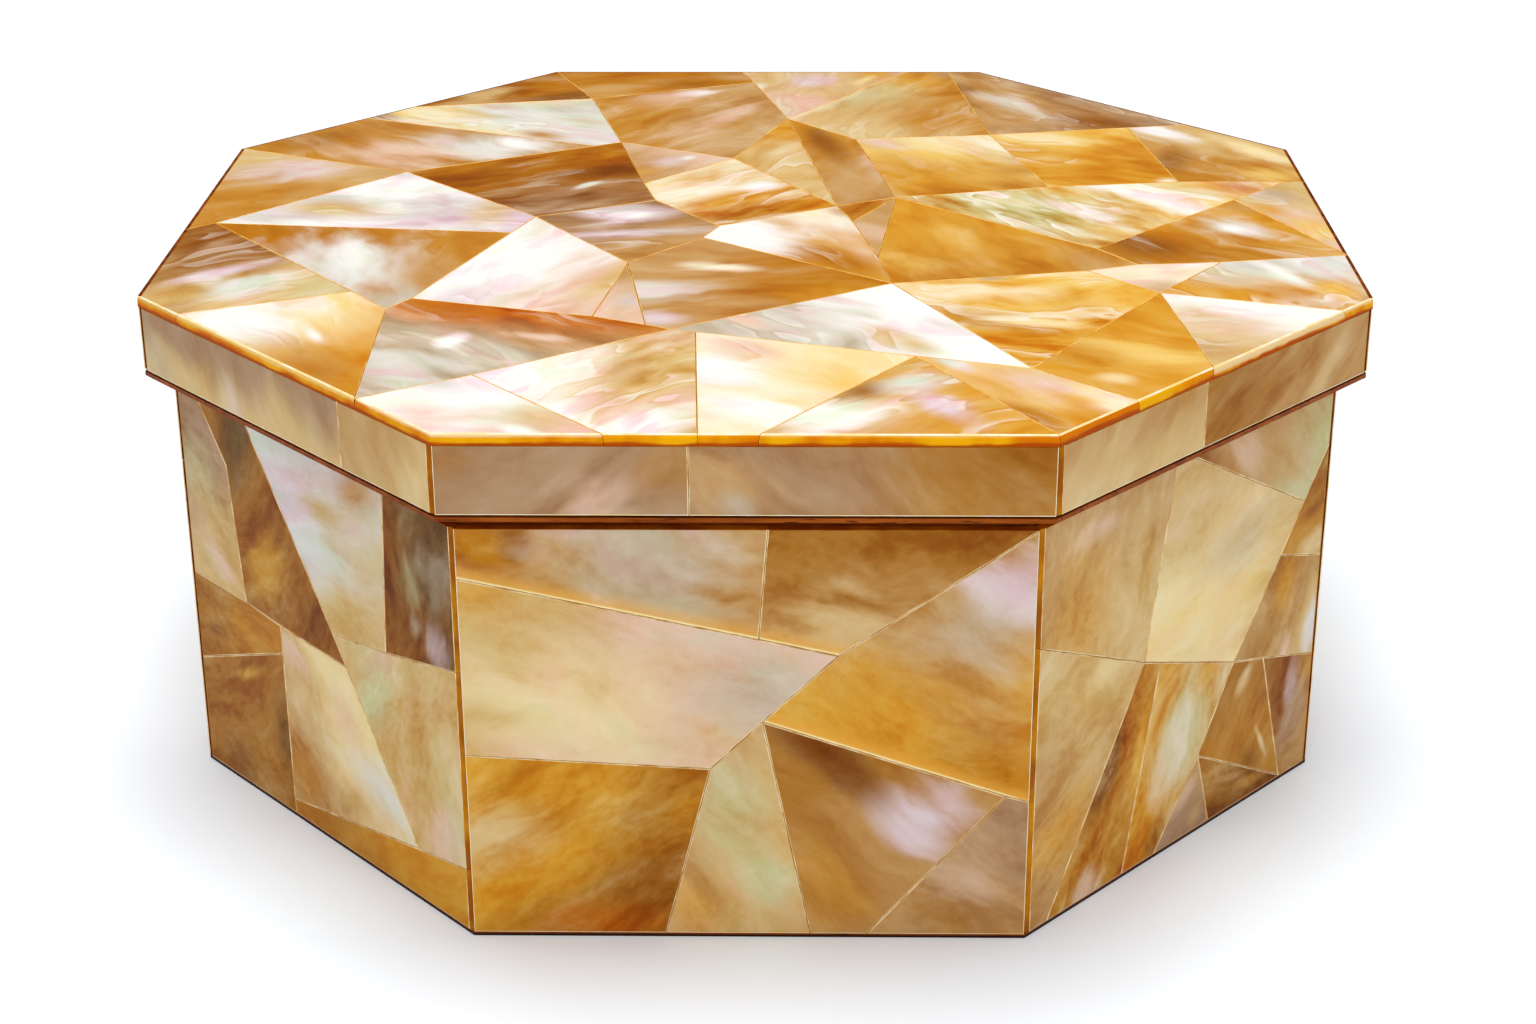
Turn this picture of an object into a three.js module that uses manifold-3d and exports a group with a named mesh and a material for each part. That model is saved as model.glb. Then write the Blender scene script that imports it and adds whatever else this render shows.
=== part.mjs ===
// An octagonal trinket box paved with plates of shell, with a cap lid that lifts off.
// Millimetres, +Z up. The origin is the middle of the underside, and the front face looks along -Y.
import * as THREE from "three";
import { mergeVertices } from "three/addons/utils/BufferGeometryUtils.js";
import Module from "manifold-3d";

const wasm = await Module();
wasm.setup();

// Lid plan, measured over the outer faces of the rim
const LID_WIDTH = 150;
const LID_DEPTH = 156;
const CORNER_CUT_X = 41.5;
const CORNER_CUT_Y = 45;

// Heights above the table
const BASE_BAND_TOP = 0.5;
const BODY_PLATES_TOP = 51.8;
const LID_LIP_BOTTOM = 54;
const LID_LIP_TOP = 54.5;
const LID_PLATES_BOTTOM = 62.9;
const TOP = 64.2;

// Shell and wood
const BODY_INSET = 3.2; // the lid overhangs the body's plates by this
const SHELL = 1.2; // thickness of the plates on the sides
const FIT = 0.3; // clearance between neighbouring pieces, where the glue is
const BAND_INSET = 0.1; // the base band and the lid's lip stand just behind the plates
const WALL = 4; // body wall
const FLOOR = 4; // body floor, above the base band
const LID_PANEL = 3.6;
const RIM_WALL = 2.8;

// Seams
const LID_SEAM = 0.3; // gap between two plates on the lid
const SIDE_SEAM = 0.24; // groove between two plates on a side
const GROOVE_DEPTH = 0.3;
const SLAB_LAP = 0.3; // how far a side plate reaches down into the slab that joins it to the next

const SHELL_GOLD = 0xd9b06a;
const SHELL_TAN = 0xcfae80;
const WOOD_BROWN = 0x7a3f1a;

const SIDE_NAMES = ["front", "front_right", "right", "back_right", "back", "back_left", "left", "front_left"];
const SIDES = SIDE_NAMES.length;

// Plan of the octagon

// Corners, counter-clockwise from the front's left end, with every face moved in by inset.
function octagon(inset) {
  const lean = Math.atan2(CORNER_CUT_Y, CORNER_CUT_X);
  const x = LID_WIDTH / 2 - inset;
  const y = LID_DEPTH / 2 - inset;
  const cutX = CORNER_CUT_X - inset + inset * Math.tan(lean / 2);
  const cutY = CORNER_CUT_Y - inset + inset * Math.tan(Math.PI / 4 - lean / 2);
  const quarter = [
    [x - cutX, y],
    [x, y - cutY],
  ];
  const [a, b] = quarter;
  return [
    [-a[0], -a[1]],
    [a[0], -a[1]],
    [b[0], -b[1]],
    [b[0], b[1]],
    [a[0], a[1]],
    [-a[0], a[1]],
    [-b[0], b[1]],
    [-b[0], -b[1]],
  ];
}

function sideLength(inset, side) {
  const corners = octagon(inset);
  const a = corners[side];
  const b = corners[(side + 1) % SIDES];
  return Math.hypot(b[0] - a[0], b[1] - a[1]);
}

// Solids

function shapeOf(points) {
  return new THREE.Shape(points.map(([x, y]) => new THREE.Vector2(x, y)));
}

// An upright prism over a plan, from low to high.
function prism(points, low, high) {
  const geometry = new THREE.ExtrudeGeometry(shapeOf(points), { depth: high - low, bevelEnabled: false });
  geometry.translate(0, 0, low);
  return geometry;
}

function solid(geometry) {
  const bare = geometry.clone();
  bare.deleteAttribute("normal");
  bare.deleteAttribute("uv");
  const merged = mergeVertices(bare, 1e-4);
  return new wasm.Manifold(
    new wasm.Mesh({
      numProp: 3,
      vertProperties: new Float32Array(merged.attributes.position.array),
      triVerts: new Uint32Array(merged.index.array),
    }),
  );
}

function geometryOf(manifold) {
  const mesh = manifold.getMesh();
  const geometry = new THREE.BufferGeometry();
  geometry.setAttribute("position", new THREE.BufferAttribute(new Float32Array(mesh.vertProperties), 3));
  geometry.setIndex(new THREE.BufferAttribute(new Uint32Array(mesh.triVerts), 1));
  geometry.computeVertexNormals();
  return geometry;
}

function shellMesh(name, geometry, color) {
  const material = new THREE.MeshStandardMaterial({ color, roughness: 0.18, metalness: 0 });
  const mesh = new THREE.Mesh(geometry, material);
  mesh.name = name;
  return mesh;
}

function woodMesh(name, manifold) {
  const material = new THREE.MeshStandardMaterial({ color: WOOD_BROWN, roughness: 0.45, metalness: 0 });
  const mesh = new THREE.Mesh(geometryOf(manifold), material);
  mesh.name = name;
  return mesh;
}

// Plates

// Moves each edge of a counter-clockwise outline in by its own distance.
function insetOutline(points, distances) {
  const count = points.length;
  const normals = points.map((p, i) => {
    const q = points[(i + 1) % count];
    const length = Math.hypot(q[0] - p[0], q[1] - p[1]);
    return [-(q[1] - p[1]) / length, (q[0] - p[0]) / length];
  });
  return points.map((p, i) => {
    const before = (i + count - 1) % count;
    const n = normals[before];
    const m = normals[i];
    const cross = n[0] * m[1] - n[1] * m[0];
    if (Math.abs(cross) < 1e-3) return [p[0] + m[0] * distances[i], p[1] + m[1] * distances[i]];
    const x = (distances[before] * m[1] - distances[i] * n[1]) / cross;
    const y = (distances[i] * n[0] - distances[before] * m[0]) / cross;
    return [p[0] + x, p[1] + y];
  });
}

function signedArea(points) {
  return points.reduce((sum, p, i) => {
    const q = points[(i + 1) % points.length];
    return sum + (p[0] * q[1] - q[0] * p[1]) / 2;
  }, 0);
}

function counterClockwise(points) {
  return signedArea(points) < 0 ? points.slice().reverse() : points;
}

// Reads a pattern: where its junctions are, and the junctions round each plate.
function platesOf(places, plates) {
  return plates.map((names) => counterClockwise(names.split(" ").map((name) => places[name])));
}

// The lid's pattern. Seams that end on the rim are given by side and distance along it.

const LID_RIM_ENDS = {
  r1: ["front", 18.5],
  r2: ["front", 28.5],
  r3: ["front", 35],
  r4: ["front_right", 14],
  r5: ["front_right", 28],
  r6: ["front_right", 55],
  r7: ["right", 17],
  r8: ["right", 49.5],
  r9: ["back_right", 18],
  r10: ["back", 5],
  r11: ["back", 11],
  r12: ["back", 37.5],
  r13: ["back_left", 30],
  r14: ["back_left", 38.5],
  r15: ["left", 39],
  r16: ["front_left", 9],
  r17: ["front_left", 47],
};

// Inner junctions, in five bands from the back of the lid to its front
const LID_JUNCTIONS = {
  a1: [-26.5, 61],
  a2: [-2, 71],
  a3: [-24, 34.5],
  a4: [-20.5, 36.5],
  a5: [3.5, 49.5],
  a6: [13.5, 38],
  a7: [33, 40.5],
  a8: [53.5, 44.5],
  a9: [-4, 28],
  b1: [-71.5, -3],
  b2: [-49.5, 21],
  b3: [-29.5, 0],
  b4: [-32, -7],
  b5: [-16, 15.5],
  b6: [-14, 7.5],
  b7: [-5, -4],
  b8: [-7, -9],
  b9: [10.5, 5],
  c1: [12.5, -2],
  c2: [18.5, 9],
  c3: [15.5, -17],
  c4: [39.5, 14],
  c5: [57.5, 16.5],
  c6: [72, 16.5],
  c7: [64, 8],
  c8: [43.5, -13.5],
  d1: [-49, -31],
  d2: [-44, -37.5],
  d3: [-41.5, -33.5],
  d4: [-16, -19.5],
  d5: [-19, -40],
  d6: [-12.5, -43],
  d7: [-9.5, -44.5],
  d8: [-6.5, -45.5],
  d9: [17, -27.5],
  e1: [41.5, -22.5],
  e2: [48, -20],
  e3: [58.5, -19],
  e4: [49.5, -31],
  e5: [32, -57.5],
  e6: [19, -53.5],
  e7: [-31, -60],
};

// k1 to k8 are the octagon's corners, counter-clockwise from the front's left end.
const LID_PLATES = [
  "k6 r12 a2 a1",
  "r12 r11 a5 a2",
  "r11 r10 a7 a6 a5",
  "r10 k5 r9 a8 a7",
  "r13 k6 a1",
  "r14 r13 a1 a4 a3",
  "a1 a2 a5 a9 a4",
  "k7 r14 a3 b2",
  "a3 a4 b5 b6 b3 b2",
  "a4 a9 b5",
  "a9 a5 b9",
  "b5 a9 b9 b7 b6",
  "a5 a6 c2 b9",
  "a6 a7 c4 c2",
  "a7 a8 c5 c4",
  "a8 r9 k4 r8 c6 c5",
  "k7 b2 b1 r15",
  "b1 b2 b3 b4",
  "b3 b6 b7 b8 d4",
  "b4 b3 d4 d5 d3",
  "b1 b4 d3 d2 d1",
  "k8 r15 b1 d1 r16",
  "b7 b9 c1 c3 d9 b8",
  "b9 c2 c1",
  "c1 c2 c3",
  "c2 c8 e2 e1 d9 c3",
  "c2 c4 c5 c6 c7 c8",
  "c6 r8 r7 c7",
  "c8 c7 r7 e3 e2",
  "b8 d9 d7 d6 d4",
  "d4 d6 d5",
  "r16 d1 d2 r17",
  "d2 d3 d5 d6 d7 e7 r17",
  "r17 e7 r1 k1",
  "e7 d7 d8 r2 r1",
  "r2 d8 e6 r3",
  "d7 d9 e5 e6 d8",
  "r3 e6 k2",
  "e6 e5 r4 k2",
  "d9 e1 e4 e5",
  "e1 e2 e3 e4",
  "e3 r7 k3 r6 e4",
  "e4 r6 r5",
  "e4 r5 r4 e5",
];

function lidPlaces() {
  const corners = octagon(0);
  const places = { ...LID_JUNCTIONS };
  corners.forEach((corner, i) => {
    places["k" + (i + 1)] = corner;
  });
  for (const [name, [sideName, along]] of Object.entries(LID_RIM_ENDS)) {
    const side = SIDE_NAMES.indexOf(sideName);
    const a = corners[side];
    const b = corners[(side + 1) % SIDES];
    const t = along / sideLength(0, side);
    places[name] = [a[0] + (b[0] - a[0]) * t, a[1] + (b[1] - a[1]) * t];
  }
  return places;
}

function sideOf(name) {
  return name in LID_RIM_ENDS ? SIDE_NAMES.indexOf(LID_RIM_ENDS[name][0]) : -1;
}

// True where the edge between two junctions is a piece of the lid's outline.
function onOutline(a, b) {
  const isRim = (name) => name[0] === "k" || name[0] === "r";
  if (!isRim(a) || !isRim(b)) return false;
  const sides = (name) => {
    if (name[0] === "r") return [sideOf(name)];
    const corner = Number(name[1]) - 1;
    return [corner, (corner + SIDES - 1) % SIDES];
  };
  return sides(a).some((side) => sides(b).includes(side));
}

function lidPlates() {
  const places = lidPlaces();
  const group = new THREE.Group();
  group.position.z = LID_PLATES_BOTTOM;
  LID_PLATES.forEach((text, i) => {
    let names = text.split(" ");
    if (signedArea(names.map((name) => places[name])) < 0) names = names.reverse();
    const gaps = names.map((name, k) => (onOutline(name, names[(k + 1) % names.length]) ? 0 : LID_SEAM / 2));
    const outline = insetOutline(
      names.map((name) => places[name]),
      gaps,
    );
    const plate = prism(outline, 0, TOP - LID_PLATES_BOTTOM);
    group.add(shellMesh("lid_plate_" + String(i + 1).padStart(2, "0"), plate, SHELL_GOLD));
  });
  return group;
}

// Patterns of the three body faces in view. L and H stand for the face's length and height, and each
// junction is a distance along the face from its left end and a height above the plates' lower edge.

function frontPattern(L, H) {
  const places = {
    w: [0, 0],
    x: [L, 0],
    y: [L, H],
    z: [0, H],
    a: [0, 45],
    b: [34.5, H],
    c: [33.4, 37.7],
    d: [42.3, 35.7],
    e: [33.8, 27.4],
    f: [27.9, 21.4],
    g: [0, 23],
    h: [22.6, 0],
    i: [39.2, 0],
    j: [L, 17.3],
    k: [61.4, 18],
    l: [46, 0],
  };
  return platesOf(places, ["z a c b", "b c d y", "a g f e d c", "y d e k j", "g w h f", "f h i e", "e i l k", "k l x j"]);
}

function frontLeftPattern(L, H) {
  const places = {
    w: [0, 0],
    x: [L, 0],
    y: [L, H],
    z: [0, H],
    a: [5.5, H],
    b: [11, 44],
    c: [13, 26.3],
    d: [16.2, H],
    e: [32.7, 28.8],
    f: [35.1, 25.4],
    g: [0, 26.5],
    h: [20.7, 25.8],
    i: [45.1, H],
    j: [43.8, 30.5],
    k: [L, 33.3],
    l: [48.1, 6.3],
    m: [20.9, 1.8],
    n: [L, 7.9],
    o: [21, 0],
    p: [0, 14],
    q: [20.8, 22],
  };
  return platesOf(places, [
    "z g c b a",
    "a b c h f e d",
    "d e j i",
    "i j k y",
    "g p q h c",
    "p w o m q",
    "h q m l f",
    "e f l n k j",
    "m o x n l",
  ]);
}

function frontRightPattern(L, H) {
  const places = {
    w: [0, 0],
    x: [L, 0],
    y: [L, H],
    z: [0, H],
    a: [25.2, H],
    b: [20.9, 27.4],
    c: [0, 36.7],
    d: [39.8, 20.6],
    e: [L, 45.4],
    f: [33.3, 10.1],
    g: [25.2, 0],
    h: [28.8, H],
    i: [53, 38],
    j: [L, 15.2],
    k: [4.1, 0],
    l: [24.2, 26.2],
    m: [18.6, 0],
    n: [48.6, 32.1],
    o: [L, 29],
    p: [36.4, 0],
    q: [52, 0],
    r: [46.4, 18.8],
  };
  return platesOf(places, [
    "z c b a",
    "a b l d n i h",
    "h i e y",
    "e i n o",
    "n d r j o",
    "c w k b",
    "b k m l",
    "l m g f d",
    "f g p",
    "f p q",
    "d f q r",
    "r q x j",
  ]);
}

// A pattern for a face out of view: the largest plate is broken across, again and again.

const BREAKS = 7;
const BREAK_SHIFT = 0.16; // how far a break strays from the middle of a plate, as a share of the plate
const BREAK_TURN = 0.55; // how far it turns from straight across, in radians

// A small repeatable source of numbers between 0 and 1.
function dice(seed) {
  let state = seed;
  return () => {
    state = (state * 16807) % 2147483647;
    return state / 2147483647;
  };
}

// The part of an outline on the left of a line.
function leftPart(points, origin, direction) {
  const side = (p) => direction[0] * (p[1] - origin[1]) - direction[1] * (p[0] - origin[0]);
  const kept = [];
  points.forEach((p, i) => {
    const q = points[(i + 1) % points.length];
    const a = side(p);
    const b = side(q);
    if (a >= 0) kept.push(p);
    if (a * b < 0) kept.push([p[0] + ((q[0] - p[0]) * a) / (a - b), p[1] + ((q[1] - p[1]) * a) / (a - b)]);
  });
  return kept;
}

function breakAcross(points, next) {
  const middle = [0, 1].map((axis) => points.reduce((sum, p) => sum + p[axis], 0) / points.length);
  const spans = points.flatMap((p) => points.map((q) => [q[0] - p[0], q[1] - p[1]]));
  const longest = spans.reduce((best, span) => (Math.hypot(...span) > Math.hypot(...best) ? span : best));
  const shift = (next() - 0.5) * 2 * BREAK_SHIFT;
  const origin = [middle[0] + longest[0] * shift, middle[1] + longest[1] * shift];
  const angle = Math.atan2(longest[1], longest[0]) + Math.PI / 2 + (next() - 0.5) * 2 * BREAK_TURN;
  const direction = [Math.cos(angle), Math.sin(angle)];
  const back = [-direction[0], -direction[1]];
  return [leftPart(points, origin, direction), leftPart(points, origin, back)];
}

function brokenPattern(seed) {
  return (L, H) => {
    const next = dice(seed);
    let plates = [
      [
        [0, 0],
        [L, 0],
        [L, H],
        [0, H],
      ],
    ];
    for (let i = 0; i < BREAKS; i += 1) {
      plates.sort((p, q) => signedArea(q) - signedArea(p));
      plates = [...breakAcross(plates[0], next), ...plates.slice(1)];
    }
    return plates;
  };
}

const BODY_PATTERNS = [
  frontPattern,
  frontRightPattern,
  brokenPattern(11),
  brokenPattern(23),
  brokenPattern(37),
  brokenPattern(41),
  brokenPattern(59),
  frontLeftPattern,
];

// Places a group on a side: its X runs along the side, its Y up, and its Z out of the box.
function standOnSide(group, inset, side, height) {
  const corners = octagon(inset);
  const a = corners[side];
  const b = corners[(side + 1) % SIDES];
  group.position.set(a[0], a[1], height);
  group.rotation.set(Math.PI / 2, 0, Math.atan2(b[1] - a[1], b[0] - a[0]), "ZXY");
}

// One plate of a side, standing on the slab behind it, with its outer face at Z = 0.
function sidePlate(outline) {
  const trimmed = insetOutline(
    outline,
    outline.map(() => SIDE_SEAM / 2),
  );
  return solid(prism(trimmed, -GROOVE_DEPTH - SLAB_LAP, 0));
}

// Plan of a body face's shell between two depths, mitred to its neighbours, as [along, depth] points.
function mitredSection(side, shallow, deep) {
  const next = (side + 1) % SIDES;
  const a = octagon(BODY_INSET)[side];
  const length = sideLength(BODY_INSET, side);
  const b = octagon(BODY_INSET)[next];
  const along = [(b[0] - a[0]) / length, (b[1] - a[1]) / length];
  const place = ([x, y]) => [
    (x - a[0]) * along[0] + (y - a[1]) * along[1],
    (y - a[1]) * along[0] - (x - a[0]) * along[1],
  ];
  const outer = octagon(BODY_INSET + shallow);
  const inner = octagon(BODY_INSET + deep);
  const corners = [outer[side], outer[next], inner[next], inner[side]].map(place);
  return corners.map(([x, y], i) => [i === 0 || i === 3 ? x + FIT / 2 : x - FIT / 2, y]);
}

// The plates of one body face, joined where they touch by what is left below the seams.
function bodyMosaic(side) {
  const low = BASE_BAND_TOP + FIT;
  const height = BODY_PLATES_TOP - low;
  const [whole, slab] = [0, GROOVE_DEPTH].map((shallow) => {
    const section = mitredSection(side, shallow, SHELL);
    return solid(prism(section, 0, height).rotateX(-Math.PI / 2));
  });
  const plates = BODY_PATTERNS[side](sideLength(BODY_INSET, side), height).map(sidePlate);
  const joined = plates.reduce((all, plate) => all.add(plate), slab).intersect(whole);
  const group = new THREE.Group();
  standOnSide(group, BODY_INSET, side, low);
  group.add(shellMesh("body_mosaic_" + SIDE_NAMES[side], geometryOf(joined), SHELL_TAN));
  return group;
}

// Where the seam between the two rim plates of each side is, as a share of the side
const RIM_SEAMS = [0.41, 0.44, 0.55, 0.38, 0.6, 0.45, 0.52, 0.71];

// The sixteen plates of the lid's rim, joined in one ring where they touch.
function rimMosaic() {
  const low = LID_LIP_TOP + FIT;
  const high = LID_PLATES_BOTTOM - FIT;
  const outer = solid(prism(octagon(GROOVE_DEPTH), low, high));
  const inner = solid(prism(octagon(SHELL), low - 1, high + 1));
  let ring = outer.subtract(inner);
  RIM_SEAMS.forEach((share, side) => {
    const length = sideLength(0, side);
    const ends = [0, length * share, length];
    for (let k = 0; k < 2; k += 1) {
      const outline = [
        [ends[k], 0],
        [ends[k + 1], 0],
        [ends[k + 1], high - low],
        [ends[k], high - low],
      ];
      const trimmed = insetOutline(outline, [0, SIDE_SEAM / 2, 0, SIDE_SEAM / 2]);
      const holder = new THREE.Group();
      standOnSide(holder, 0, side, low);
      holder.updateMatrixWorld(true);
      const plate = prism(trimmed, -GROOVE_DEPTH - SLAB_LAP, 0).applyMatrix4(holder.matrixWorld);
      ring = ring.add(solid(plate));
    }
  });
  return shellMesh("lid_rim_mosaic", geometryOf(ring), SHELL_TAN);
}

// Wood

function bodyCarcass() {
  const neckTop = LID_PLATES_BOTTOM - FIT - LID_PANEL - FIT;
  const outside = BODY_INSET + SHELL + FIT;
  const band = solid(prism(octagon(BODY_INSET + BAND_INSET), 0, BASE_BAND_TOP));
  const core = solid(prism(octagon(outside), 0, neckTop));
  const hollow = solid(prism(octagon(outside + WALL), BASE_BAND_TOP + FLOOR, neckTop + 1));
  return woodMesh("body_carcass", band.add(core).subtract(hollow));
}

function lidCarcass() {
  const panelTop = LID_PLATES_BOTTOM - FIT;
  const lip = solid(prism(octagon(BAND_INSET), LID_LIP_BOTTOM, LID_LIP_TOP));
  const cap = solid(prism(octagon(SHELL + FIT), LID_LIP_BOTTOM, panelTop));
  const hollow = solid(prism(octagon(SHELL + FIT + RIM_WALL), LID_LIP_BOTTOM - 1, panelTop - LID_PANEL));
  return woodMesh("lid_carcass", lip.add(cap).subtract(hollow));
}

// Assembly

const body = new THREE.Group();
body.add(bodyCarcass());
for (let side = 0; side < SIDES; side += 1) {
  body.add(bodyMosaic(side));
}

const lid = new THREE.Group();
lid.add(lidCarcass());
lid.add(rimMosaic());
lid.add(lidPlates());

const box = new THREE.Group();
box.add(body);
box.add(lid);

export default box;
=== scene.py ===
# %% [markdown]
# # An octagonal box paved with gold mother-of-pearl
#
# The real box is a wooden carcass with a cap lid, and every outside face is paved with irregular plates of
# polished shell, fitted edge to edge like crazy paving. The construction model gives each piece's place and
# size. This lesson loads it as a fixed frame and builds the finely shaped, finely coloured plates round it.

# %% Load the frame
import math
import random

import bpy
from mathutils import Matrix, Vector


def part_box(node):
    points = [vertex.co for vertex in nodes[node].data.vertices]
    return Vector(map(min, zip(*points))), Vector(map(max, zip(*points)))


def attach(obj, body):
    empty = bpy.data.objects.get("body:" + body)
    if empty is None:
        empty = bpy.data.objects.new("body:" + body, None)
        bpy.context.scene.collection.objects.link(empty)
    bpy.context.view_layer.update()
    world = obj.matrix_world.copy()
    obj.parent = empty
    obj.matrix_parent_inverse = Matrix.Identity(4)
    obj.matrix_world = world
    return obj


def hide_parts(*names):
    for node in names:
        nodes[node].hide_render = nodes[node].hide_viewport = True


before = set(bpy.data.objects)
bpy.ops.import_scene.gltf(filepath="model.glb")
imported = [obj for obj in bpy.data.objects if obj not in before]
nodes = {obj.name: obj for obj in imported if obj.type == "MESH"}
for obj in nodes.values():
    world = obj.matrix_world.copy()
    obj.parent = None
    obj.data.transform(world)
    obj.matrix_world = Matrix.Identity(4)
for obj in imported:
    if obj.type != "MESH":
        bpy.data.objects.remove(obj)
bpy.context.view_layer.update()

MM = 0.001

# %% [markdown]
# ## The camera
#
# A camera is a place, a direction and a lens. These values come from fitting the box's corners to the
# picture: the lens is long, so that upright edges stay almost parallel, and it looks down by 23 degrees. A
# camera could also be aimed at a point by a constraint. Here its direction is built from yaw, pitch and
# roll, because each of them can be read and nudged by itself.

# %% Camera
CAMERA_PLACE = Vector((7.0, -345.3, 170.6)) * MM
YAW, PITCH, ROLL = math.radians(-0.97), math.radians(23.33), math.radians(-0.22)
LENS, SENSOR_WIDTH = 63.6, 36.0  # both in mm

forward = Vector((math.sin(YAW) * math.cos(PITCH), math.cos(YAW) * math.cos(PITCH), -math.sin(PITCH)))
level = Vector((math.cos(YAW), -math.sin(YAW), 0))
upward = level.cross(forward)
right = level * math.cos(ROLL) + upward * math.sin(ROLL)
top = upward * math.cos(ROLL) - level * math.sin(ROLL)
camera = bpy.data.objects.new("camera", bpy.data.cameras.new("camera"))
camera.data.lens = LENS
camera.data.sensor_width = SENSOR_WIDTH
camera.data.clip_start = 0.01
camera.matrix_world = Matrix.Translation(CAMERA_PLACE) @ Matrix((right, top, -forward)).transposed().to_4x4()
bpy.context.scene.collection.objects.link(camera)
bpy.context.scene.camera = camera
print("camera looks along", [round(x, 3) for x in forward])

# %% [markdown]
# ## Writing a material as a recipe
#
# Node trees can be wired by hand in the shader editor, but they are easier to read when they are written like
# arithmetic. This small class wraps a tree: each method adds one node, plugs in numbers or other nodes'
# outputs, and gives the new output back.

# %% Recipe
class Recipe:
    def __init__(self, material):
        material.use_nodes = True
        self.tree = material.node_tree
        self.shader = self.tree.nodes["Principled BSDF"]

    def put(self, socket, value):
        if isinstance(value, bpy.types.NodeSocket):
            self.tree.links.new(value, socket)
        else:
            socket.default_value = value

    def math(self, operation, a, b=0.0, clamp=False):
        node = self.tree.nodes.new("ShaderNodeMath")
        node.operation = operation
        node.use_clamp = clamp
        self.put(node.inputs[0], a)
        self.put(node.inputs[1], b)
        return node.outputs[0]

    def vector(self, operation, a, b=(0.0, 0.0, 0.0)):
        node = self.tree.nodes.new("ShaderNodeVectorMath")
        node.operation = operation
        self.put(node.inputs[0], a)
        self.put(node.inputs[1], b)
        return node.outputs["Value" if operation in ("LENGTH", "DOT_PRODUCT") else "Vector"]

    def attribute(self, name, output="Vector"):
        node = self.tree.nodes.new("ShaderNodeAttribute")
        node.attribute_name = name
        return node.outputs[output]

    def split(self, vector):
        node = self.tree.nodes.new("ShaderNodeSeparateXYZ")
        self.put(node.inputs[0], vector)
        return node.outputs


print("recipe for numbers:", [name for name in vars(Recipe) if name[0] != "_"])

# %% [markdown]
# Patterns and colours take a few more kinds of node. A class can be made from another one and then knows all
# its methods, so this cell only adds the new ones.

# %% Recipe for patterns and colours
class ColourRecipe(Recipe):
    def noise(self, place, scale, detail=3.0, roughness=0.5, distortion=0.0, output=0):
        node = self.tree.nodes.new("ShaderNodeTexNoise")
        self.put(node.inputs["Vector"], place)
        node.inputs["Scale"].default_value = scale
        node.inputs["Detail"].default_value = detail
        node.inputs["Roughness"].default_value = roughness
        node.inputs["Distortion"].default_value = distortion
        return node.outputs[output]

    def step(self, value, low, high, start=0.0, end=1.0):
        """A smooth step: start below low, end above high."""
        node = self.tree.nodes.new("ShaderNodeMapRange")
        node.interpolation_type = "SMOOTHSTEP"
        self.put(node.inputs["Value"], value)
        for name, x in (("From Min", low), ("From Max", high), ("To Min", start), ("To Max", end)):
            node.inputs[name].default_value = x
        return node.outputs[0]

    def mix(self, share, a, b, blend="MIX"):
        node = self.tree.nodes.new("ShaderNodeMix")
        node.data_type = "RGBA"
        node.blend_type = blend
        for name, x in (("Factor_Float", share), ("A_Color", a), ("B_Color", b)):
            self.put(next(s for s in node.inputs if s.identifier == name), x)
        return next(s for s in node.outputs if s.identifier == "Result_Color")

    def gamma(self, colour, power):
        node = self.tree.nodes.new("ShaderNodeGamma")
        self.put(node.inputs["Color"], colour)
        self.put(node.inputs["Gamma"], power)
        return node.outputs[0]

    def bump(self, height, distance, strength=1.0):
        node = self.tree.nodes.new("ShaderNodeBump")
        node.inputs["Strength"].default_value = strength
        node.inputs["Distance"].default_value = distance
        self.put(node.inputs["Height"], height)
        return node.outputs[0]


print("recipe for colours adds:", [name for name in vars(ColourRecipe) if name[0] != "_"])

# %% [markdown]
# ## The colours of gold shell
#
# Gold-lipped pearl oyster runs from dark umber at the lip to silver white at the heart of the shell. A plate
# that is cut from it drifts from one of these colours to another. They could be typed again for each plate.
# They are named once here instead, and every plate is described with the names. Shaders count light and not
# paint values, so each colour is changed to linear light on its way in.

# %% Palette
def linear(red, green, blue):
    """A colour in a painter's values of 0 to 255, made ready for the shader."""
    shares = [value / 255 for value in (red, green, blue)]
    return tuple(s / 12.92 if s <= 0.04045 else ((s + 0.055) / 1.055) ** 2.4 for s in shares) + (1.0,)


TONES = {
    "umber": (126, 67, 10),
    "brown": (158, 96, 26),
    "rust": (200, 112, 22),
    "bronze": (178, 120, 44),
    "smoke": (120, 84, 38),
    "amber": (190, 120, 16),
    "honey": (202, 140, 50),
    "gold": (222, 160, 50),
    "mauve": (182, 144, 108),
    "tan": (203, 157, 98),
    "champagne": (224, 190, 130),
    "butter": (242, 202, 112),
    "grey": (204, 188, 164),
    "sage": (210, 204, 152),
    "rose": (236, 200, 174),
    "lilac": (232, 210, 214),
    "cream": (250, 226, 170),
    "silver": (232, 228, 218),
    "ivory": (252, 238, 208),
    "pearl": (255, 252, 247),
}
PALETTE = {name: linear(*rgb) for name, rgb in TONES.items()}
print("palette of", len(PALETTE), "tones")

# %% [markdown]
# ## Nacre: its figure
#
# Nacre looks deep because light comes back from thin layers under a polished surface. A full layered model
# would be slow and wouldn't survive an export, so the depth is painted, in this cell and the next four.
# First come the patterns. Shell shows the same few in every piece, from broad clouds through billows and
# ripples to a fine silk, all drawn out along the grain. They are noise textures stretched along the grain,
# read at places that slower noise has pushed about, so that the grain curls as the layers do.

# %% Nacre figure
def bend(r, place, scale, reach):
    """Pushes places about with slow noise, by up to half the reach, in mm along and across the grain."""
    push = r.vector("SUBTRACT", r.noise(place, scale, 1.0, output=1), (0.5, 0.5, 0.5))
    return r.vector("ADD", place, r.vector("MULTIPLY", push, reach))


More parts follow.
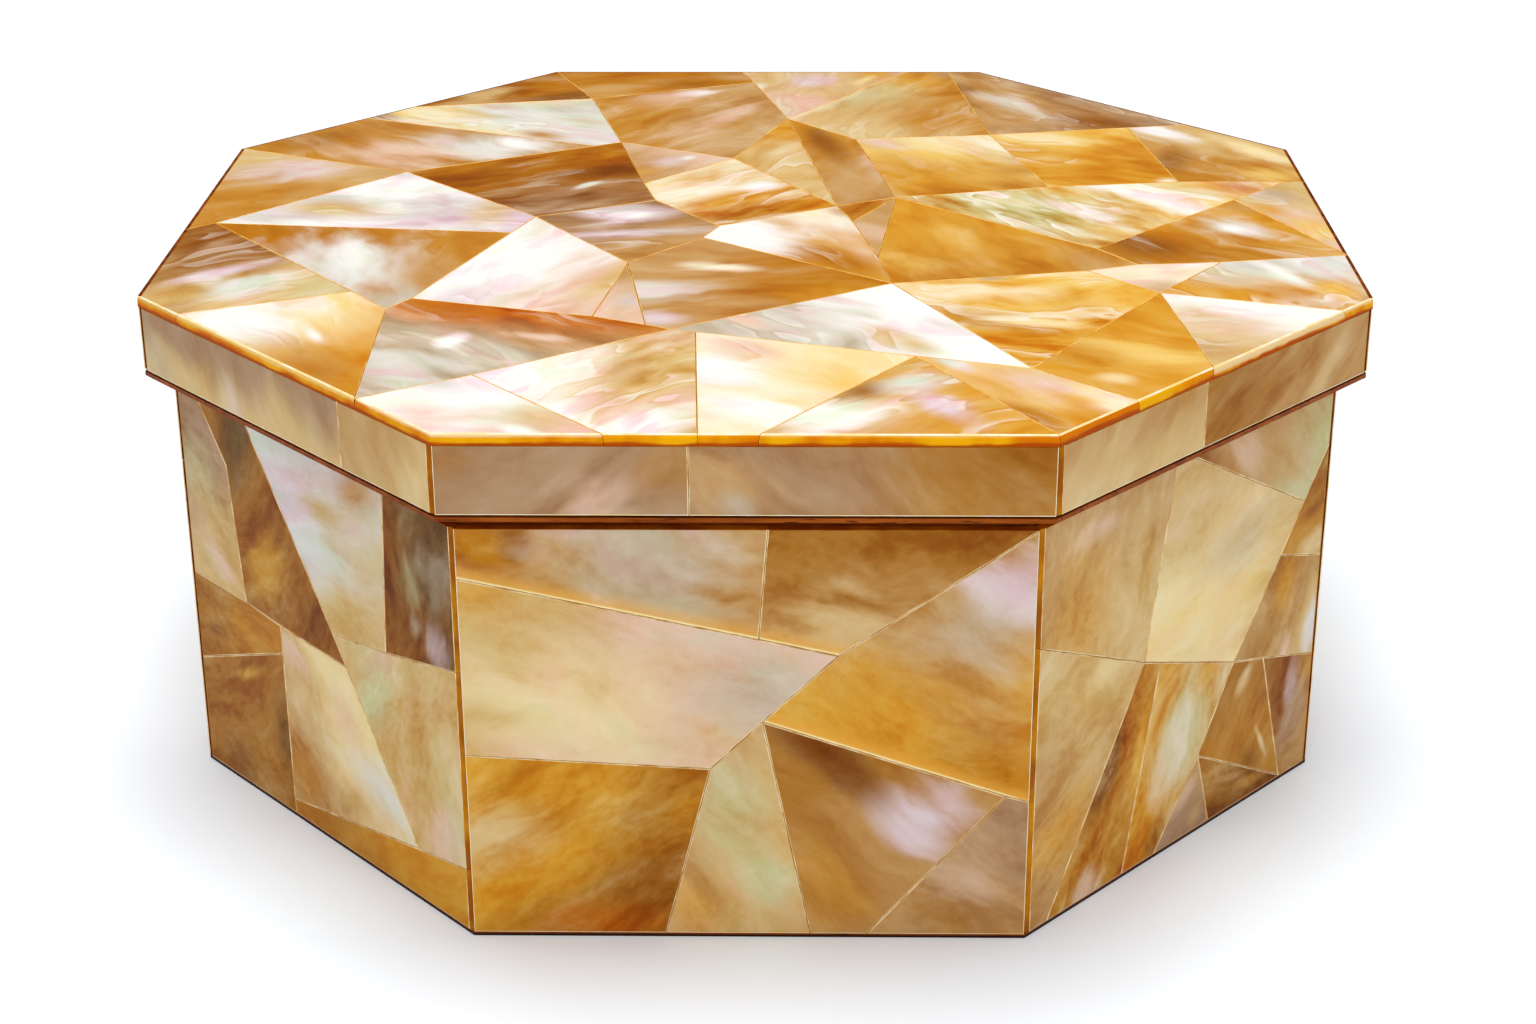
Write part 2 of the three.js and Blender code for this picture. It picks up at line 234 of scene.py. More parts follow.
def figure(r, place, along, scale, detail, roughness=0.5, across=1.0):
    """Noise drawn out along the grain: the smaller the number for along, the longer it runs."""
    return r.noise(r.vector("MULTIPLY", place, (along, across, 1.0)), scale, detail, roughness)


def shell_figures(r):
    """The shell's patterns, from the broadest to the finest."""
    bent = bend(r, r.attribute("grain"), 0.045, (14.0, 11.0, 0.0))
    silky = bend(r, bent, 0.20, (3.5, 2.8, 0.0))
    return {
        "cloud": figure(r, bent, 0.7, 0.085, 2.0, across=1.2),
        "billow": figure(r, silky, 0.45, 0.17, 1.5),
        "hue": figure(r, silky, 0.45, 0.24, 2.0),
        "crease": figure(r, bent, 0.38, 0.34, 0.6),
        "ripple": figure(r, silky, 0.32, 0.48, 2.0),
        "mottle": figure(r, bent, 0.7, 0.9, 3.0, roughness=0.6),
        "silk": figure(r, silky, 0.14, 1.4, 2.0),
    }


def centred(r, value, strength):
    """Noise round 0 instead of 0.5, made stronger or weaker."""
    return r.math("MULTIPLY", r.math("SUBTRACT", value, 0.5), strength)


print("nacre figure ready")

# %% [markdown]
# ## Nacre: ground and puffs
#
# The ground drifts from one tone to another across the plate, and up to four soft puffs of other tones float
# in it. A puff could be a painted blot. It is worked out here from the distance to its centre, which the
# figure frays, so that it has no outline and follows the grain. Every plate carries its own grain, tones and
# puffs as attributes of its mesh, and so one material serves all the plates of one finish.

# %% Nacre ground
PUFFS = 4  # the most that one plate has
NO_DEPTH = (1.0, 1.0, 0.0)


def ground(r, figures):
    """The two tones, with the puffs in them."""
    drift = r.math("ADD", r.attribute("drift", "Fac"), centred(r, figures["cloud"], 1.4))
    tone_from, tone_to = r.attribute("tone_from", "Color"), r.attribute("tone_to", "Color")
    colour = r.mix(r.step(drift, 0.1, 0.9), tone_from, tone_to)
    fray = r.math("ADD", centred(r, figures["billow"], -1.8), centred(r, figures["ripple"], -0.7))
    for k in range(PUFFS):
        place = r.attribute("puff_%d" % k)
        reach = r.math("ADD", r.vector("LENGTH", r.vector("MULTIPLY", place, NO_DEPTH)), fray)
        share = r.math("MULTIPLY", r.step(reach, 1.5, 0.15), r.split(place)[2])
        colour = r.mix(share, colour, r.attribute("puff_tone_%d" % k, "Color"))
    return colour


print("up to", PUFFS, "puffs a plate")

# %% [markdown]
# ## Nacre: light and dark
#
# Raising a warm colour to a power makes it darker and redder together, as thicker shell does, so the dark
# side of a billow is a power and not a plain shadow. Its light side is partly a power below one, which stays
# warm, and partly a step towards ivory, which looks milky. How milky it is, and how mottled, goes with the
# finish. Along each crease the shell gets a narrow painted highlight, with painted shade on the side under it
# that makes the fold look raised, and only plates with silk have them.

# %% Nacre light and dark
def billows(r, figures, colour, contrast, mottling, milk):
    fine = r.math("ADD", centred(r, figures["ripple"], 1.1), centred(r, figures["silk"], 0.14))
    swell = r.math("ADD", centred(r, figures["billow"], 2.4), fine)
    swell = r.math("ADD", swell, centred(r, figures["mottle"], mottling))
    shade = r.math("MULTIPLY", r.step(swell, 0.15, -0.85), contrast)
    colour = r.gamma(colour, r.math("ADD", 1.0, r.math("MULTIPLY", shade, 1.1)))
    light = r.math("MULTIPLY", r.step(swell, 0.0, 0.85), contrast)
    colour = r.gamma(colour, r.math("SUBTRACT", 1.0, r.math("MULTIPLY", light, 0.6 * (1 - milk))))
    return r.mix(r.math("MULTIPLY", light, milk, clamp=True), colour, r.mix(0.6, colour, PALETTE["ivory"]))


def crease_glints(r, figures, colour, silk):
    crease = figures["crease"]
    # painted highlight along each fold, and painted shade on the side under it
    fold_highlight = r.math("MULTIPLY", r.step(crease, 0.515, 0.54), r.step(crease, 0.68, 0.53))
    under = r.math("MULTIPLY", r.step(crease, 0.40, 0.51), r.step(crease, 0.53, 0.51))
    crease_share = r.math("MULTIPLY", r.step(figures["billow"], 0.46, 0.62), silk)
    colour = r.gamma(colour, r.math("ADD", 1.0, r.math("MULTIPLY", r.math("MULTIPLY", under, crease_share), 0.7)))
    return r.mix(r.math("MULTIPLY", fold_highlight, crease_share, clamp=True), colour, r.mix(0.65, colour, PALETTE["pearl"]))


print("billows and creases ready")

# %% [markdown]
# ## Nacre: pink, green and lit edges
#
# The thin layers split light into pink and green, but only where the shell is pale enough to show it. Thin
# film in the shader could do that and would change with the view. Two soft tints do it here, because they
# look the same from every side and come through an export. Some side plates also catch the light along one
# edge: a bright line there, with a warm glow beside it.

# %% Nacre tints
PINK_TINT = (1.0, 0.72, 0.82, 1.0)
GREEN_TINT = (0.84, 0.96, 0.80, 1.0)


def iridescence(r, figures, colour, tint):
    pale = r.vector("DOT_PRODUCT", colour, (0.1, 0.4, 0.5))
    sheen = r.math("MULTIPLY", r.step(pale, 0.12, 0.75), tint, clamp=True)
    pink = r.math("MULTIPLY", r.step(figures["hue"], 0.52, 0.66), sheen)
    green = r.math("MULTIPLY", r.step(figures["hue"], 0.48, 0.34), sheen)
    colour = r.mix(pink, colour, r.mix(1.0, colour, PINK_TINT, "MULTIPLY"))
    return r.mix(green, colour, r.mix(1.0, colour, GREEN_TINT, "MULTIPLY"))


def edge_light(r, colour):
    """A glow within 2.4 mm of the lit edge, and a bright line within 0.4 mm."""
    away = r.attribute("edge_glow", "Fac")
    colour = r.mix(r.step(away, 2.4, 0.1, 0.0, 0.6), colour, linear(246, 178, 74))
    return r.mix(r.step(away, 0.42, 0.16), colour, linear(255, 232, 160))


print("tints ready")

# %% [markdown]
# ## Nacre: three finishes
#
# The lid is polished: clear, milky in its lights, with a coat that mirrors softly. The body's plates are
# satin and more mottled. The rim's are as dull as they are, and less mottled. The coat stays weak, because a
# strong one would mirror the lights and hide the figure. A very low bump lets the billows move the shine.

# %% Nacre finishes
def nacre(name, mottling, milk, roughness, shine, coat):
    material = bpy.data.materials.new(name)
    r = ColourRecipe(material)
    figures = shell_figures(r)
    contrast, tint, silk = r.split(r.attribute("temper"))[:3]
    colour = billows(r, figures, ground(r, figures), contrast, mottling, milk)
    colour = iridescence(r, figures, crease_glints(r, figures, colour, silk), tint)
    r.put(r.shader.inputs["Base Color"], edge_light(r, colour))
    dullness = r.step(figures["silk"], 0.25, 0.75, roughness + 0.10, roughness - 0.06)
    r.put(r.shader.inputs["Roughness"], dullness)
    relief = r.math("ADD", figures["billow"], r.math("MULTIPLY", figures["silk"], 0.1))
    r.put(r.shader.inputs["Normal"], r.bump(relief, 0.06 * MM, 0.5))
    r.shader.inputs["Specular IOR Level"].default_value = shine
    r.shader.inputs["Coat Weight"].default_value = coat
    r.shader.inputs["Coat Roughness"].default_value = 0.04
    r.shader.inputs["Coat IOR"].default_value = 1.35
    return material


POLISHED_NACRE = nacre("polished_nacre", mottling=0.3, milk=0.75, roughness=0.28, shine=0.08, coat=0.18)
SATIN_NACRE = nacre("satin_nacre", mottling=1.2, milk=0.2, roughness=0.40, shine=0.04, coat=0.05)
RIM_NACRE = nacre("rim_nacre", mottling=0.8, milk=0.3, roughness=0.42, shine=0.05, coat=0.05)
print("nacre materials", POLISHED_NACRE.name, SATIN_NACRE.name, RIM_NACRE.name)

# %% [markdown]
# ## The cut edges of the plates
#
# Seen from the side, a plate is a stack of layers, and light that enters the face leaves at the cut edge, so
# the edges glow amber. Along the lid's outline they make one bright band: cream where the plate's own colour
# comes through, orange below it, and a burnt orange at its foot that rises here and there. Light scattered
# inside the shell could be simulated. A strong colour with hardly any shine gives the same glow for less.
# The attribute "rise" says how high on the edge a point is, from 0 at the back to 1 at the face, and "amber"
# how far up the orange reaches.

# %% Amber edge
def amber_edge():
    material = bpy.data.materials.new("amber_edge")
    r = ColourRecipe(material)
    rise = r.attribute("rise", "Fac")
    place = r.attribute("grain")
    smoke = r.noise(place, 0.10, 3.0, 0.6)
    layers = r.noise(r.vector("MULTIPLY", place, (0.25, 0.25, 2.0)), 0.8, 3.0, 0.6)
    own = r.mix(0.5, r.attribute("tone_from", "Color"), r.attribute("tone_to", "Color"))
    orange = r.mix(r.step(smoke, 0.38, 0.62), linear(226, 122, 2), linear(250, 178, 8))
    above = r.math("ADD", r.math("SUBTRACT", rise, r.attribute("amber", "Fac")), centred(r, smoke, 0.5))
    colour = r.mix(r.step(above, -0.12, 0.16), orange, r.mix(0.6, own, linear(250, 198, 96)))
    height = r.math("ADD", rise, r.math("ADD", centred(r, layers, 0.4), centred(r, smoke, 0.9)))
    colour = r.mix(r.step(height, 0.42, 0.12), colour, linear(184, 74, 2))
    r.put(r.shader.inputs["Base Color"], colour)
    r.put(r.shader.inputs["Roughness"], r.step(layers, 0.3, 0.7, 0.16, 0.28))
    r.shader.inputs["Specular IOR Level"].default_value = 0.01
    r.shader.inputs["Coat Weight"].default_value = 0.05
    r.shader.inputs["Coat Roughness"].default_value = 0.05
    return material


AMBER_EDGE = amber_edge()
print("band material", AMBER_EDGE.name)

# %% [markdown]
# Where two plates meet, only the ground-off arris shows, as a thin bright line, with dark glue in the joint
# behind it. The arris lines are partly a painted highlight: their light tones, and the near-white of the
# palest line, stand for light caught on the arris. One flat colour would look drawn with a ruler, so a thin
# line has two tones that change along it.

# %% Thin lines
def two_toned(name, dark, light, gloss=0.2, size=0.35, shine=0.2):
    """A thin line's material: two tones that change along it, duller where it is dark."""
    material = bpy.data.materials.new(name)
    r = ColourRecipe(material)
    # on arris lines the change between the two tones is partly a painted highlight; on glue and amber it is
    # their own colour
    wear_and_glint = r.noise(r.attribute("grain"), size, 3.0, 0.6)
    r.put(r.shader.inputs["Base Color"], r.mix(r.step(wear_and_glint, 0.35, 0.65), linear(*dark), linear(*light)))
    r.put(r.shader.inputs["Roughness"], r.step(wear_and_glint, 0.3, 0.7, gloss + 0.15, gloss))
    r.shader.inputs["Specular IOR Level"].default_value = shine
    return material


# the arris lines' light tones are partly painted highlight, and the palest line is a painted highlight on the
# arris
LID_ARRIS = two_toned("lid_arris", (232, 160, 52), (255, 214, 124))
SIDE_ARRIS = two_toned("side_arris", (214, 160, 88), (255, 230, 178), shine=0.1)
ARRIS_HIGHLIGHT = two_toned("arris_highlight", (255, 222, 146), (255, 244, 214))
CORNER_AMBER = two_toned("corner_amber", (160, 84, 4), (212, 138, 10), size=0.12, shine=0.04)
JOINT_GLUE = two_toned("joint_glue", (96, 38, 2), (146, 72, 6), gloss=0.5, shine=0.02)
print("thin lines:", [line.name for line in (LID_ARRIS, SIDE_ARRIS, ARRIS_HIGHLIGHT, CORNER_AMBER, JOINT_GLUE)])

# %% [markdown]
# ## Reading the faces from the frame
#
# The plates' places could be typed in again, but the frame holds them already, and what is read from it can't
# drift away from it. Each face of the box is a plane: the direction it faces and its distance from the
# middle. A node's large upright planes are found by adding up its triangles that face the same way outwards.

# %% Faces of a node
def triangles_of(node):
    node.data.calc_loop_triangles()
    for triangle in node.data.loop_triangles:
        yield [node.data.vertices[i].co / MM for i in triangle.vertices], Vector(triangle.normal)


def outward_planes(node):
    """Normals of the node's upright outer planes, each with its distance from the middle, largest first."""
    found = {}
    for corners, normal in triangles_of(node):
        middle = sum(corners, Vector()) / 3
        if abs(normal.z) > 0.01 or normal.dot(middle) < 0:
            continue
        size = (corners[1] - corners[0]).cross(corners[2] - corners[0]).length / 2
        group = found.setdefault(tuple(round(x, 2) for x in normal), {"lean": Vector(), "corners": []})
        group["lean"] += normal * size
        group["corners"] += corners
    ranked = sorted(found.values(), key=lambda group: -group["lean"].length)
    normals = [group["lean"].normalized() for group in ranked]
    return [(n, max(n.dot(c) for c in group["corners"])) for n, group in zip(normals, ranked)]


def axes_of(normal):
    """Two directions in a plane: along it to the right, and up it."""
    if normal.z > 0.5:
        return Vector((1, 0, 0)), Vector((0, 1, 0))
    return Vector((0, 0, 1)).cross(normal).normalized(), Vector((0, 0, 1))


front_plane = outward_planes(nodes["body_mosaic_front"])[0]
print("the front faces", tuple(round(x, 2) for x in front_plane[0]), "at", round(front_plane[1], 1), "mm")

# %% [markdown]
# ## Reading the plates' outlines
#
# A lid plate is a node of its own, and a side's plates are raised islands on one node. Triangles in one plane
# that share corners make one island. An edge that only one triangle uses is on its outline, and following
# these edges in turn gives the outline back.

# %% Outlines in a plane
SLACK = 0.02  # mm, for points that should lie on one plane or line


def straightened(points):
    """Leaves out the points that lie on a straight line between their neighbours."""
    kept = []
    for i, p in enumerate(points):
        before, after = points[i - 1], points[(i + 1) % len(points)]
        a, b = (p - before).normalized(), (after - p).normalized()
        if abs(a.x * b.y - a.y * b.x) > 0.004:
            kept.append(p)
    return kept


def outlines_on(node, normal, distance):
    """The outlines of the islands in a plane, counter-clockwise, as points along and up it in mm."""
    along, up = axes_of(normal)
    step_from = {}
    for corners, facing in triangles_of(node):
        if facing.dot(normal) < 0.999 or any(abs(normal.dot(c) - distance) > SLACK for c in corners):
            continue
        flat = [(round(c.dot(along), 3), round(c.dot(up), 3)) for c in corners]
        for a, b in zip(flat, flat[1:] + flat[:1]):
            step_from.setdefault(a, set()).add(b)
    edges = {(a, b) for a, ends in step_from.items() for b in ends}
    rim = {a: b for a, b in edges if (b, a) not in edges}
    loops = []
    while rim:
        start, here = rim.popitem()
        loop = [start]
        while here != start:
            loop.append(here)
            here = rim.pop(here)
        loops.append(straightened([Vector(p) for p in loop]))
    return loops


print("the front has", len(outlines_on(nodes["body_mosaic_front"], *front_plane)), "plates")

# %% [markdown]
# ## Moving the edges of an outline
#
# Neighbouring plates have to meet with only a hair between them, and a polished arris is a set of ever
# smaller outlines. Scaling an outline would move its far edges more than its near ones. So one function moves
# every edge by its own distance, and finds the new corners where the moved edges cross.

# %% Inset
def inset(points, distances):
    """Moves each edge of a counter-clockwise outline inwards by its own distance."""
    count = len(points)
    inward = []
    for i, p in enumerate(points):
        run = (points[(i + 1) % count] - p).normalized()
        inward.append(Vector((-run.y, run.x)))
    moved = []
    for i, p in enumerate(points):
        n, m = inward[i - 1], inward[i]
        a, b = distances[i - 1], distances[i]
        cross = n.x * m.y - n.y * m.x
        if abs(cross) < 1e-3:
            moved.append(p + m * b)
        else:
            moved.append(p + Vector(((a * m.y - b * n.y) / cross, (b * n.x - a * m.x) / cross)))
    return moved


square = [Vector(corner) for corner in ((0, 0), (10, 0), (10, 10), (0, 10))]
print("a 10 mm square, each edge 1 mm in:", [tuple(round(x, 2) for x in p) for p in inset(square, [1.0] * 4)])

# %% [markdown]
# ## How the edges are ground
#
# An edge's kind says how its arris is ground. A seam has a tiny round one, a little wider on the body and the
# rim. The lid's outline has a generous round one along the front. At the sides and the back it has a low
# straight one in the colour of the joints, a painted shade that draws the thin dark line those edges have
# against the white. The end of a side plate is nearly sharp, or on the slanting faces ground wide and
# straight, so that the amber of the shell shows as a strip. Nearly every kind has a thin line along the top,
# and another material below it; where that line is pale or golden, it is partly a painted highlight on the
# arris. A bevel modifier would give all the edges of a plate the same width, so the widths are worked out
# here.

# %% Kinds of edge
KINDS = {  # width and height of the arris in mm, depth of its thin line, the line and what is below it
    "seam": (0.08, 0.10, 0.10, "arris", "joint"),
    "side_seam": (0.12, 0.10, 0.10, "arris", "joint"),
    # the rim's pale top line is a painted highlight, and the far rim's dark line is painted shade
    "rim": (0.42, 0.90, 0.14, "pale", "edge"),
    "far_rim": (0.50, 0.05, 0.05, "joint", "edge"),
    "end": (0.14, 0.14, 0.14, "pale", "joint"),
    "amber_end": (0.80, 0.30, 0.045, "arris", "corner"),
    "ledge": (0.14, 0.14, 0.14, "pale", "joint"),
    "tucked": (0.06, 0.06, 0.0, "corner", "corner"),
}
STRAIGHT_KINDS = {"amber_end", "far_rim"}
ROUND_STEPS = 5
THINNEST_RING = 0.012  # mm


def arris_width(kind, depth):
    """How far an edge is ground in at a depth under the face."""
    width, height = KINDS[kind][:2]
    if depth >= height:
        return 0.0
    if kind in STRAIGHT_KINDS:
        return width * (1 - depth / height)
    return width * (1 - math.sqrt(1 - (1 - depth / height) ** 2))


def depths_of(kinds, thickness):
    """The heights of a plate's rings, measured down from the face."""
    found = {0.0, thickness}
    for kind in set(kinds):
        height, line = KINDS[kind][1:3]
        found |= {height * (1 - math.cos(math.pi / 2 * k / ROUND_STEPS)) for k in range(1, ROUND_STEPS + 1)}
        found.add(line)
    ordered = sorted(found)
    return [d for i, d in enumerate(ordered) if i == 0 or d - ordered[i - 1] > THINNEST_RING]


print("rings of a plate on the lid's outline:", [round(d, 2) for d in depths_of(["rim", "seam"], 1.3)])

# %% [markdown]
# ## Building one plate
#
# A plate is a stack of outlines, from the polished face down to its back. The mesh is written ring by ring,
# which keeps full control over each arris and costs few faces. An extruded outline with a bevel would be
# less work and would lose that control.

# %% Plate
MATERIAL_ORDER = ["face", "arris", "edge", "pale", "corner", "joint"]


def plate_piece(name, outline, kinds, thickness, leans, place, look, materials):
    """outline in mm, kinds and leans for each edge; place takes (along, up, depth) in mm into the frame."""
    depths = depths_of(kinds, thickness)
    rings = []
    for depth in depths:
        cuts = [arris_width(kind, depth) + lean * depth for kind, lean in zip(kinds, leans)]
        rings.append(inset(outline, cuts))
    count = len(outline)
    flat = [(p, depth) for ring, depth in zip(rings, depths) for p in ring]
    faces = [tuple(range(count))]
    slots = [MATERIAL_ORDER.index("face")]
    for k in range(len(depths) - 1):
        for i in range(count):
            j = (i + 1) % count
            low, high = (k + 1) * count, k * count
            faces.append((high + i, low + i, low + j, high + j))
            line, shown, below = KINDS[kinds[i]][2:]
            slots.append(MATERIAL_ORDER.index(shown if depths[k] < line - 0.01 else below))
    faces.append(tuple(reversed(range((len(depths) - 1) * count, len(depths) * count))))
    slots.append(MATERIAL_ORDER.index("joint"))

    mesh = bpy.data.meshes.new(name)
    mesh.from_pydata([place(p.x, p.y, depth) * MM for p, depth in flat], [], faces)
    for key in MATERIAL_ORDER:
        mesh.materials.append(materials[key])
    mesh.polygons.foreach_set("material_index", slots)
    paint(mesh, [p for p, _ in flat], [d for _, d in flat], outline, thickness, look)
    mesh.validate()
    piece = bpy.data.objects.new(name, mesh)
    bpy.context.scene.collection.objects.link(piece)
    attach(piece, "root")
    return piece


print("a plate has the materials", MATERIAL_ORDER)

# %% [markdown]
# ## Describing a plate's look
#
# A look says what a person would say of a plate: it runs from this tone to that one in this direction, its
# grain lies so, and it has a white puff here and a brown one there. The plates could be painted as pictures
# instead, but a picture has to be stored, and can't be put right in a few words.

# %% Look
def puff(tone, x, y, size, share=0.8, stretch=1.5, angle=None):
    """A soft cloud at shares of the plate's box. It is stretched along an angle, or else along the grain."""
    return {"tone": tone, "x": x, "y": y, "size": size, "share": share, "stretch": stretch, "angle": angle}


def look(tones, toward, grain, contrast, tint, silk, *puffs, glow=None, amber=0.5):
    """toward and grain are angles in degrees, and glow is the side on which the edge is lit up."""
    return {"tones": tones.split(), "toward": toward, "grain": grain, "contrast": contrast, "tint": tint,
            "silk": silk, "puffs": puffs, "glow": glow, "amber": amber}


print("a look holds", list(look("tan gold", 0, 0, 0.5, 0.5, 0.0)))

# %% [markdown]
# ## Putting a look on a plate
#
# The look's values are put on the mesh as attributes, which the materials read. All of them change evenly
# over the plate, so its few corners are enough to carry them exactly, and the material adds the detail.
# Image textures would need unwrapping, and would blur where the attributes stay sharp.

# %% Paint
PATTERN_STEP = 7.31  # mm between the places in the noise that two plates in turn read
NO_GLOW = 99.0  # mm, farther than any glow reaches


def turned(angle):
    return Vector((math.cos(math.radians(angle)), math.sin(math.radians(angle))))


def lit_edge(outline, angle):
    """A point on the outline's edge that faces the angle, and the edge's outward direction."""
    found = []
    for p, q in zip(outline, outline[1:] + outline[:1]):
        run = (q - p).normalized()
        outward = Vector((run.y, -run.x))
        found.append((outward.dot(turned(angle)), tuple(p), tuple(outward)))
    _, point, outward = max(found)
    return Vector(point), Vector(outward)


def seen_from_puff(points, low, size, grain, cloud):
    """Each point's place along and across a puff, in shares of its size, and the puff's share."""
    centre = low + Vector((size.x * cloud["x"], size.y * cloud["y"]))
    radius = cloud["size"] * max(size)
    longways = turned(grain if cloud["angle"] is None else cloud["angle"])
    sideways = Vector((-longways.y, longways.x))
    slimness = cloud["stretch"] ** 0.5
    offsets = [(p - centre) / radius for p in points]
    return [(o.dot(longways) / slimness, o.dot(sideways) * slimness, cloud["share"]) for o in offsets]


def paint(mesh, points, depths, outline, thickness, plate_look):
    low = Vector((min(p.x for p in outline), min(p.y for p in outline)))
    high = Vector((max(p.x for p in outline), max(p.y for p in outline)))
    size = high - low
    middle = (low + high) / 2
    with_grain = turned(plate_look["grain"])
    across = Vector((-with_grain.y, with_grain.x))
    uphill = turned(plate_look["toward"])
    climb = abs(uphill.x) * size.x + abs(uphill.y) * size.y
    pattern = plate_look["seed"] * PATTERN_STEP
    tone_from, tone_to = (PALETTE[plate_look["tones"][i]] for i in (0, -1))

    values = {
        "grain": [(p.dot(with_grain), p.dot(across), pattern + d) for p, d in zip(points, depths)],
        "temper": [(plate_look["contrast"], plate_look["tint"], plate_look["silk"])] * len(points),
        "tone_from": [tone_from] * len(points),
        "tone_to": [tone_to] * len(points),
        "drift": [0.5 + (p - middle).dot(uphill) / climb for p in points],
        "rise": [1 - d / thickness for d in depths],
        "amber": [plate_look["amber"]] * len(points),
        "edge_glow": [NO_GLOW] * len(points),
    }
    if plate_look["glow"] is not None:
        point, outward = lit_edge(outline, plate_look["glow"])
        values["edge_glow"] = [(point - p).dot(outward) for p in points]
    unused = puff(plate_look["tones"][0], 0, 0, 1, share=0)
    clouds = list(plate_look["puffs"]) + [unused] * (PUFFS - len(plate_look["puffs"]))
    for k, cloud in enumerate(clouds):
        values["puff_%d" % k] = seen_from_puff(points, low, size, plate_look["grain"], cloud)
        values["puff_tone_%d" % k] = [PALETTE[cloud["tone"]]] * len(points)

    for name, rows in values.items():
        kind, field = "FLOAT", "value"
        if isinstance(rows[0], tuple):
            kind, field = ("FLOAT_COLOR", "color") if len(rows[0]) == 4 else ("FLOAT_VECTOR", "vector")
            rows = [x for row in rows for x in row]
        mesh.attributes.new(name, kind, "POINT").data.foreach_set(field, rows)


print("patterns lie", PATTERN_STEP, "mm apart")
